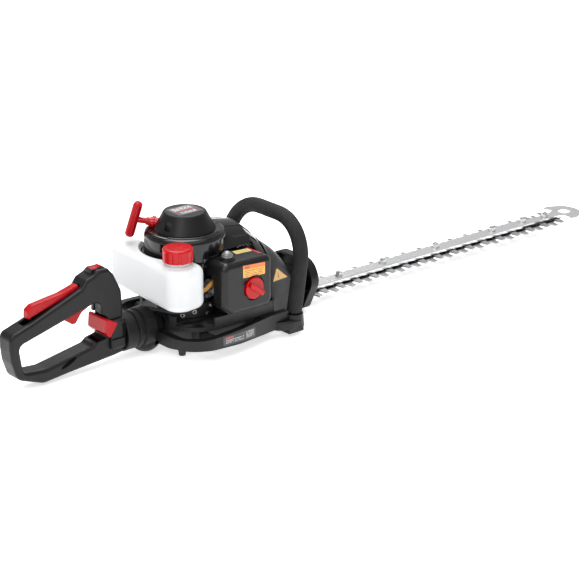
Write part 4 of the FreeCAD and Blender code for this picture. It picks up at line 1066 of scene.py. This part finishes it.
@dataclass
class ScrewSet:
    """Socket-head screws on one body, made by Geometry Nodes from a cloud of seats."""

    name: str
    body: str
    fasteners: Sequence[Fastener]
    head_radius: float = 3.4
    head_height: float = 2.2
    socket_radius: float = 1.6

    def recipe(self, steel: bpy.types.Material, dark: bpy.types.Material) -> Recipe:
        """Tree that puts a head on every seat, with a dark hexagonal prism as painted shade of its socket.

        Args:
            steel: Finish of the heads.
            dark: Finish of the dark prisms painted as the sockets' shade.

        Returns:
            The finished recipe.
        """
        recipe = Recipe("screw_heads")
        radius = recipe.number("Head radius", 0.0034)
        height = recipe.number("Head height", 0.0022)
        socket = recipe.number("Socket radius", 0.0016)
        aim = recipe.add("GeometryNodeInputNamedAttribute", {"Name": "aim"}, data_type="FLOAT_VECTOR")
        turn = recipe.add("FunctionNodeAlignRotationToVector", {"Vector": aim.outputs["Attribute"]}, axis="Z")
        body = recipe.add("GeometryNodeMeshCone", {
            "Vertices": 32, "Radius Top": recipe.math("MULTIPLY", radius, 0.86), "Radius Bottom": radius,
            "Depth": height})
        # Painted shade: a dark hexagonal prism stands for the shade inside the socket.
        well = recipe.add("GeometryNodeMeshCylinder", {
            "Vertices": 6, "Radius": socket, "Depth": recipe.math("MULTIPLY", height, 0.3)})
        lift = recipe.add("ShaderNodeCombineXYZ", {"Z": recipe.math("MULTIPLY", height, 0.87)})
        raised = recipe.add("GeometryNodeTransform", {"Geometry": well.outputs["Mesh"],
                                                      "Translation": lift.outputs[0]})
        steel_set = recipe.add("GeometryNodeSetMaterial", {"Geometry": body.outputs["Mesh"],
                                                           "Material": steel})
        socket_shade_set = recipe.add("GeometryNodeSetMaterial", {"Geometry": raised.outputs["Geometry"],
                                                          "Material": dark})
        both = recipe.add("GeometryNodeJoinGeometry")
        recipe.tree.links.new(steel_set.outputs["Geometry"], both.inputs["Geometry"])
        recipe.tree.links.new(socket_shade_set.outputs["Geometry"], both.inputs["Geometry"])
        placed = recipe.add("GeometryNodeInstanceOnPoints", {
            "Points": recipe.source.outputs["Geometry"], "Instance": both.outputs["Geometry"],
            "Rotation": turn.outputs["Rotation"]})
        real = recipe.add("GeometryNodeRealizeInstances", {"Geometry": placed.outputs["Instances"]})
        recipe.tree.links.new(real.outputs["Geometry"], recipe.output.inputs["Geometry"])
        return recipe

    def build(self, wardrobe: Wardrobe) -> None:
        """Make the screws as one piece.

        Args:
            wardrobe: The finishes.
        """
        mesh = bpy.data.meshes.new(self.name + "_seats")
        mesh.from_pydata([tuple(value * MM for value in item.seat) for item in self.fasteners], [], [])
        attribute = mesh.attributes.new("aim", "FLOAT_VECTOR", "POINT")
        for index, item in enumerate(self.fasteners):
            attribute.data[index].vector = item.aim
        base = bpy.data.objects.new(self.name + "_seats", mesh)
        bpy.context.scene.collection.objects.link(base)
        recipe = self.recipe(wardrobe["zinc_plate"], wardrobe["painted_socket_shade"])
        baked = recipe.bake(base, self.name, **{
            "Head radius": self.head_radius * MM, "Head height": self.head_height * MM,
            "Socket radius": self.socket_radius * MM})
        finished(self.name, baked, wardrobe["zinc_plate"], self.body)


# ---------------------------------------------------------------------------
# Sub-assemblies
# ---------------------------------------------------------------------------

@dataclass
class Labels:
    """Printed films on the cover, hood, frame and dome."""

    yellow: Colour = (0.83, 0.42, 0.03)
    pale: Colour = (0.75, 0.6, 0.22)
    orange: Colour = (0.76, 0.16, 0.02)
    ink: Colour = (0.05, 0.04, 0.035)
    white: Colour = (0.75, 0.75, 0.74)

    def patches(self) -> list[Patch]:
        """Every film with its place."""
        warning = PrintedLabel("label_warning", LabelArt.WARNING, self.yellow, (0.3, 0.1, 0.03),
                               self.orange, 7.0)
        notice = PrintedLabel("label_notice", LabelArt.NOTICE, self.pale, (0.3, 0.2, 0.05), self.pale, 3.0)
        red = PrintedLabel("label_red", LabelArt.PLAIN, (0.5, 0.004, 0.02), self.ink, self.ink)
        sign = PrintedLabel("label_sign", LabelArt.TRIANGLE, self.yellow, self.ink, self.ink)
        plate = PrintedLabel("label_plate", LabelArt.PLATE, (0.012, 0.012, 0.013), (0.35, 0.35, 0.36),
                             (0.4, 0.02, 0.02), 7.0)
        emblem = PrintedLabel("label_emblem", LabelArt.EMBLEM, (0.06, 0.055, 0.058), self.white,
                              (0.4, 0.01, 0.02), 8.0)
        down, inward = (0.0, 0.0, -1.0), (0.0, 1.0, 0.0)
        return [
            Patch("cover_warning_label", "filter_cover",
                  ((28.0, -101, 118.5), (68.5, -101, 116.5), (69.0, -101, 134.5), (27.6, -101, 137.5)),
                  inward, warning),
            Patch("cover_notice_label", "filter_cover",
                  ((42.5, -67.5, 150), (71.0, -68.5, 150), (72.5, -56.0, 150), (44.5, -54.0, 150)),
                  down, notice),
            Patch("cover_red_label", "filter_cover",
                  ((71.0, -83.0, 150), (80.5, -83.0, 150), (80.5, -50.0, 150), (74.0, -50.0, 150)),
                  down, red),
            Patch("hood_sign_label", "front_cover",
                  ((122.0, -90, 77.0), (158.5, -90, 74.0), (133.0, -90, 95.5), (130.0, -90, 95.5)),
                  inward, sign),
            Patch("frame_plate_label", "main_frame",
                  ((-15.0, -140, 25.0), (53.0, -140, 20.5), (53.0, -140, 35.0), (-15.0, -140, 39.0)),
                  inward, plate, steps=30),
            Patch("dome_emblem_label", "starter_dome",
                  ((-21.0, -16.0, 210), (23.0, -16.0, 210), (23.0, 19.0, 210), (-21.0, 19.0, 210)),
                  down, emblem),
        ]

    def build(self, nodes: dict[str, bpy.types.Object]) -> None:
        """Lay every film.

        Args:
            nodes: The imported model's objects by name.
        """
        for patch in self.patches():
            patch.build(nodes)


@dataclass
class Bead:
    """A raised rib that follows a surface along a line of points."""

    name: str
    node: str
    points: Sequence[Vec3]
    direction: Vec3
    finish: str
    radius: float = 1.6
    flatness: float = 0.75
    sides: int = 12
    step: float = 2.0
    body: str = "machine"

    def build(self, nodes: dict[str, bpy.types.Object], wardrobe: Wardrobe) -> None:
        """Lay the rib on the node's surface and make it a piece.

        Args:
            nodes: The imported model's objects by name.
            wardrobe: The finishes.
        """
        surface = Surface(nodes[self.node])
        direction = Vector(self.direction).normalized()
        track: list[tuple[Vector, Vector]] = []
        stops = [Vector(point) * MM for point in self.points]
        for first, last in zip(stops, stops[1:]):
            count = max(2, int((last - first).length / (self.step * MM)))
            for index in range(count + (last is stops[-1])):
                point = first.lerp(last, index / count)
                found = surface.hit(point - direction * (point.dot(direction) + 0.4), direction)
                if found:
                    track.append(found)
        maker = bmesh.new()
        rings = []
        for index, (place, normal) in enumerate(track):
            ahead = track[min(index + 1, len(track) - 1)][0] - track[max(index - 1, 0)][0]
            side = ahead.normalized().cross(normal).normalized()
            end = min(index, len(track) - 1 - index)
            reach = self.radius * MM * (0.35, 0.75, 0.92)[end] if end < 3 else self.radius * MM
            turns = [2.0 * math.pi * k / self.sides for k in range(self.sides)]
            rings.append([maker.verts.new(place + reach * (side * math.cos(turn)
                                                           + normal * self.flatness * math.sin(turn)))
                          for turn in turns])
        for first, last in zip(rings, rings[1:]):
            for k in range(self.sides):
                following = (k + 1) % self.sides
                maker.faces.new((first[k], first[following], last[following], last[k]))
        maker.faces.new(rings[0])
        maker.faces.new(list(reversed(rings[-1])))
        finished(self.name, mesh_from(self.name, maker, 60.0), wardrobe[self.finish], self.body)


@dataclass
class ShroudRelief:
    """Raised ribs and steps of the glossy fan housing and its roof."""

    def build(self, nodes: dict[str, bpy.types.Object], wardrobe: Wardrobe) -> None:
        """Lay every rib.

        Args:
            nodes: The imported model's objects by name.
            wardrobe: The finishes.
        """
        down = (0.0, 0.0, -1.0)
        arc = [(52.0 * math.cos(math.radians(angle)), 52.0 * math.sin(math.radians(angle)), 200.0)
               for angle in range(200, 312, 6)]
        Bead("housing_step", "engine_shroud", arc, down, "gloss_black", 2.0).build(nodes, wardrobe)
        for index, y in enumerate((-43.0, -24.0, 24.0, 43.0)):
            line = [(56.0, y * 0.96, 200.0), (108.0, y * 0.86, 200.0)]
            Bead(f"roof_rib_{index + 1}", "engine_shroud", line, down, "gloss_black",
                 1.7).build(nodes, wardrobe)


@dataclass
class HandleDetails:
    """Painted shade of the slots in the rear handle."""

    def build(self, nodes: dict[str, bpy.types.Object], wardrobe: Wardrobe) -> None:
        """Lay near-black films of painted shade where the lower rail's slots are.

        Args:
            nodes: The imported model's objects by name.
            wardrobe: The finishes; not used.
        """
        # Painted shade: a near-black film on the rail stands for the shade inside each slot.
        dark = MouldedPlastic("slot_shadow", (0.001, 0.001, 0.001), 0.8, 0.00003, specular=0.05)
        for side, node in ((-1.0, "rear_handle_right"), (1.0, "rear_handle_left")):
            corners = ((-236.0, side * 60.0, 16.5), (-209.0, side * 60.0, 27.5),
                       (-211.0, side * 60.0, 33.5), (-238.0, side * 60.0, 22.5))
            Patch("rail_slot_shade_" + node[12:], node, corners, (0.0, -side, 0.0), dark, "rear_handle",
                  oval=True, lift=0.06).build(nodes)


@dataclass
class Fasteners:
    """Screws of the case and the shroud."""

    flange_radius: float = 64.0
    flange_z: float = 140.0

    def build(self, wardrobe: Wardrobe) -> None:
        """Make each set of screws.

        Args:
            wardrobe: The finishes.
        """
        ring = []
        for degrees in (100.0, 200.0, 320.0):
            angle = math.radians(degrees)
            ring.append(Fastener((self.flange_radius * math.cos(angle), self.flange_radius * math.sin(angle),
                                  self.flange_z), (0.0, 0.0, 1.0)))
        ScrewSet("flange_screws", "machine", ring).build(wardrobe)
        engine = [Fastener((14.0, -40.8, 63.5), (0.33, -0.94, 0.0)),
                  Fastener((6.5, -42.7, 53.0), (0.14, -0.99, 0.0)),
                  Fastener((-16.0, -39.8, 60.0), (-0.37, -0.93, 0.0)),
                  Fastener((-30.0, -30.6, 55.0), (-0.7, -0.71, 0.0))]
        ScrewSet("engine_screws", "machine", engine, 3.8, 3.0, 1.9).build(wardrobe)


# ---------------------------------------------------------------------------
# Studio
# ---------------------------------------------------------------------------

@dataclass
class Studio:
    """Camera, pale floor and soft lights."""

    target: Vec3 = (200.5, 0.0, 30.8)
    back: Vec3 = (-0.6026, -0.7171, 0.3502)
    distance: float = 3500.0
    lens: float = 141.04
    floor_glow: float = 0.62
    sky: float = 0.5

    def camera(self) -> None:
        """Place the camera and look at the target."""
        data = bpy.data.cameras.new("camera")
        data.lens = self.lens
        data.sensor_width = 36.0
        data.clip_start = 0.05
        data.clip_end = 50.0
        camera = bpy.data.objects.new("camera", data)
        bpy.context.scene.collection.objects.link(camera)
        back = Vector(self.back).normalized()
        camera.location = (Vector(self.target) + back * self.distance) * MM
        camera.rotation_euler = back.to_track_quat("Z", "Y").to_euler()
        bpy.context.scene.camera = camera

    def floor(self) -> None:
        """Lay a pale floor under the machine."""
        maker = bmesh.new()
        bmesh.ops.create_grid(maker, x_segments=1, y_segments=1, size=14.0)
        floor = bpy.data.objects.new("floor", mesh_from("floor", maker))
        floor.location.z = CAD_BOX[0][2] - 0.0005
        bpy.context.scene.collection.objects.link(floor)
        board = Board("floor_paper")
        speck = board.noise(board.place(), 900.0, 2.0, 0.5)
        board.join(board.blend(speck, (0.93, 0.93, 0.93), (0.95, 0.95, 0.95)),
                   board.shader.inputs["Base Color"])
        board.set(Roughness=0.9, Specular_IOR_Level=0.1, Emission_Color=(1.0, 1.0, 1.0, 1.0),
                  Emission_Strength=self.floor_glow)
        floor.data.materials.append(board.material)

    def light(self, name: str, place: Vec3, size: float, power: float) -> None:
        """Add one soft rectangular light that faces the machine.

        Args:
            name: Name of the light.
            place: Its place in metres.
            size: Edge length in metres.
            power: Power in watts.
        """
        data = bpy.data.lights.new(name, "AREA")
        data.shape = "SQUARE"
        data.size = size
        data.energy = power
        lamp = bpy.data.objects.new(name, data)
        lamp.location = place
        lamp.rotation_euler = (Vector(place) - Vector((0.1, 0.0, 0.08))).to_track_quat("Z", "Y").to_euler()
        bpy.context.scene.collection.objects.link(lamp)

    def sun(self) -> None:
        """Add a wide, even light from above."""
        data = bpy.data.lights.new("even", "SUN")
        data.energy = 1.5
        data.angle = math.radians(80.0)
        lamp = bpy.data.objects.new("even", data)
        lamp.rotation_euler = Euler((math.radians(12.0), math.radians(-10.0), 0.0))
        bpy.context.scene.collection.objects.link(lamp)

    def world(self) -> None:
        """Fill the room with even white light."""
        world = bpy.data.worlds.new("studio")
        world.use_nodes = True
        board = world.node_tree.nodes["Background"]
        board.inputs["Color"].default_value = (1.0, 1.0, 1.0, 1.0)
        board.inputs["Strength"].default_value = self.sky
        bpy.context.scene.world = world
        bpy.context.scene.view_settings.view_transform = "Standard"

    def build(self) -> None:
        """Set up everything."""
        self.camera()
        self.floor()
        self.world()
        self.sun()
        self.light("overhead", (0.1, 0.3, 2.2), 1.2, 26.0)
        self.light("key", (-1.6, -1.0, 1.5), 0.7, 12.0)
        self.light("rim", (1.0, 1.5, 1.9), 0.9, 16.0)


def main() -> None:
    """Build the machine's looks, class by class."""
    logging.basicConfig(level=logging.INFO, format="%(name)s: %(message)s")
    nodes = frame["nodes"]
    Studio().build()
    wardrobe = Wardrobe()
    dress(nodes, wardrobe)
    FrontGrip().build(wardrobe)
    Fasteners().build(wardrobe)
    ShroudRelief().build(nodes, wardrobe)
    HandleDetails().build(nodes, wardrobe)
    Labels().build(nodes)
    bpy.context.view_layer.update()


if __name__ == "__main__":
    main()
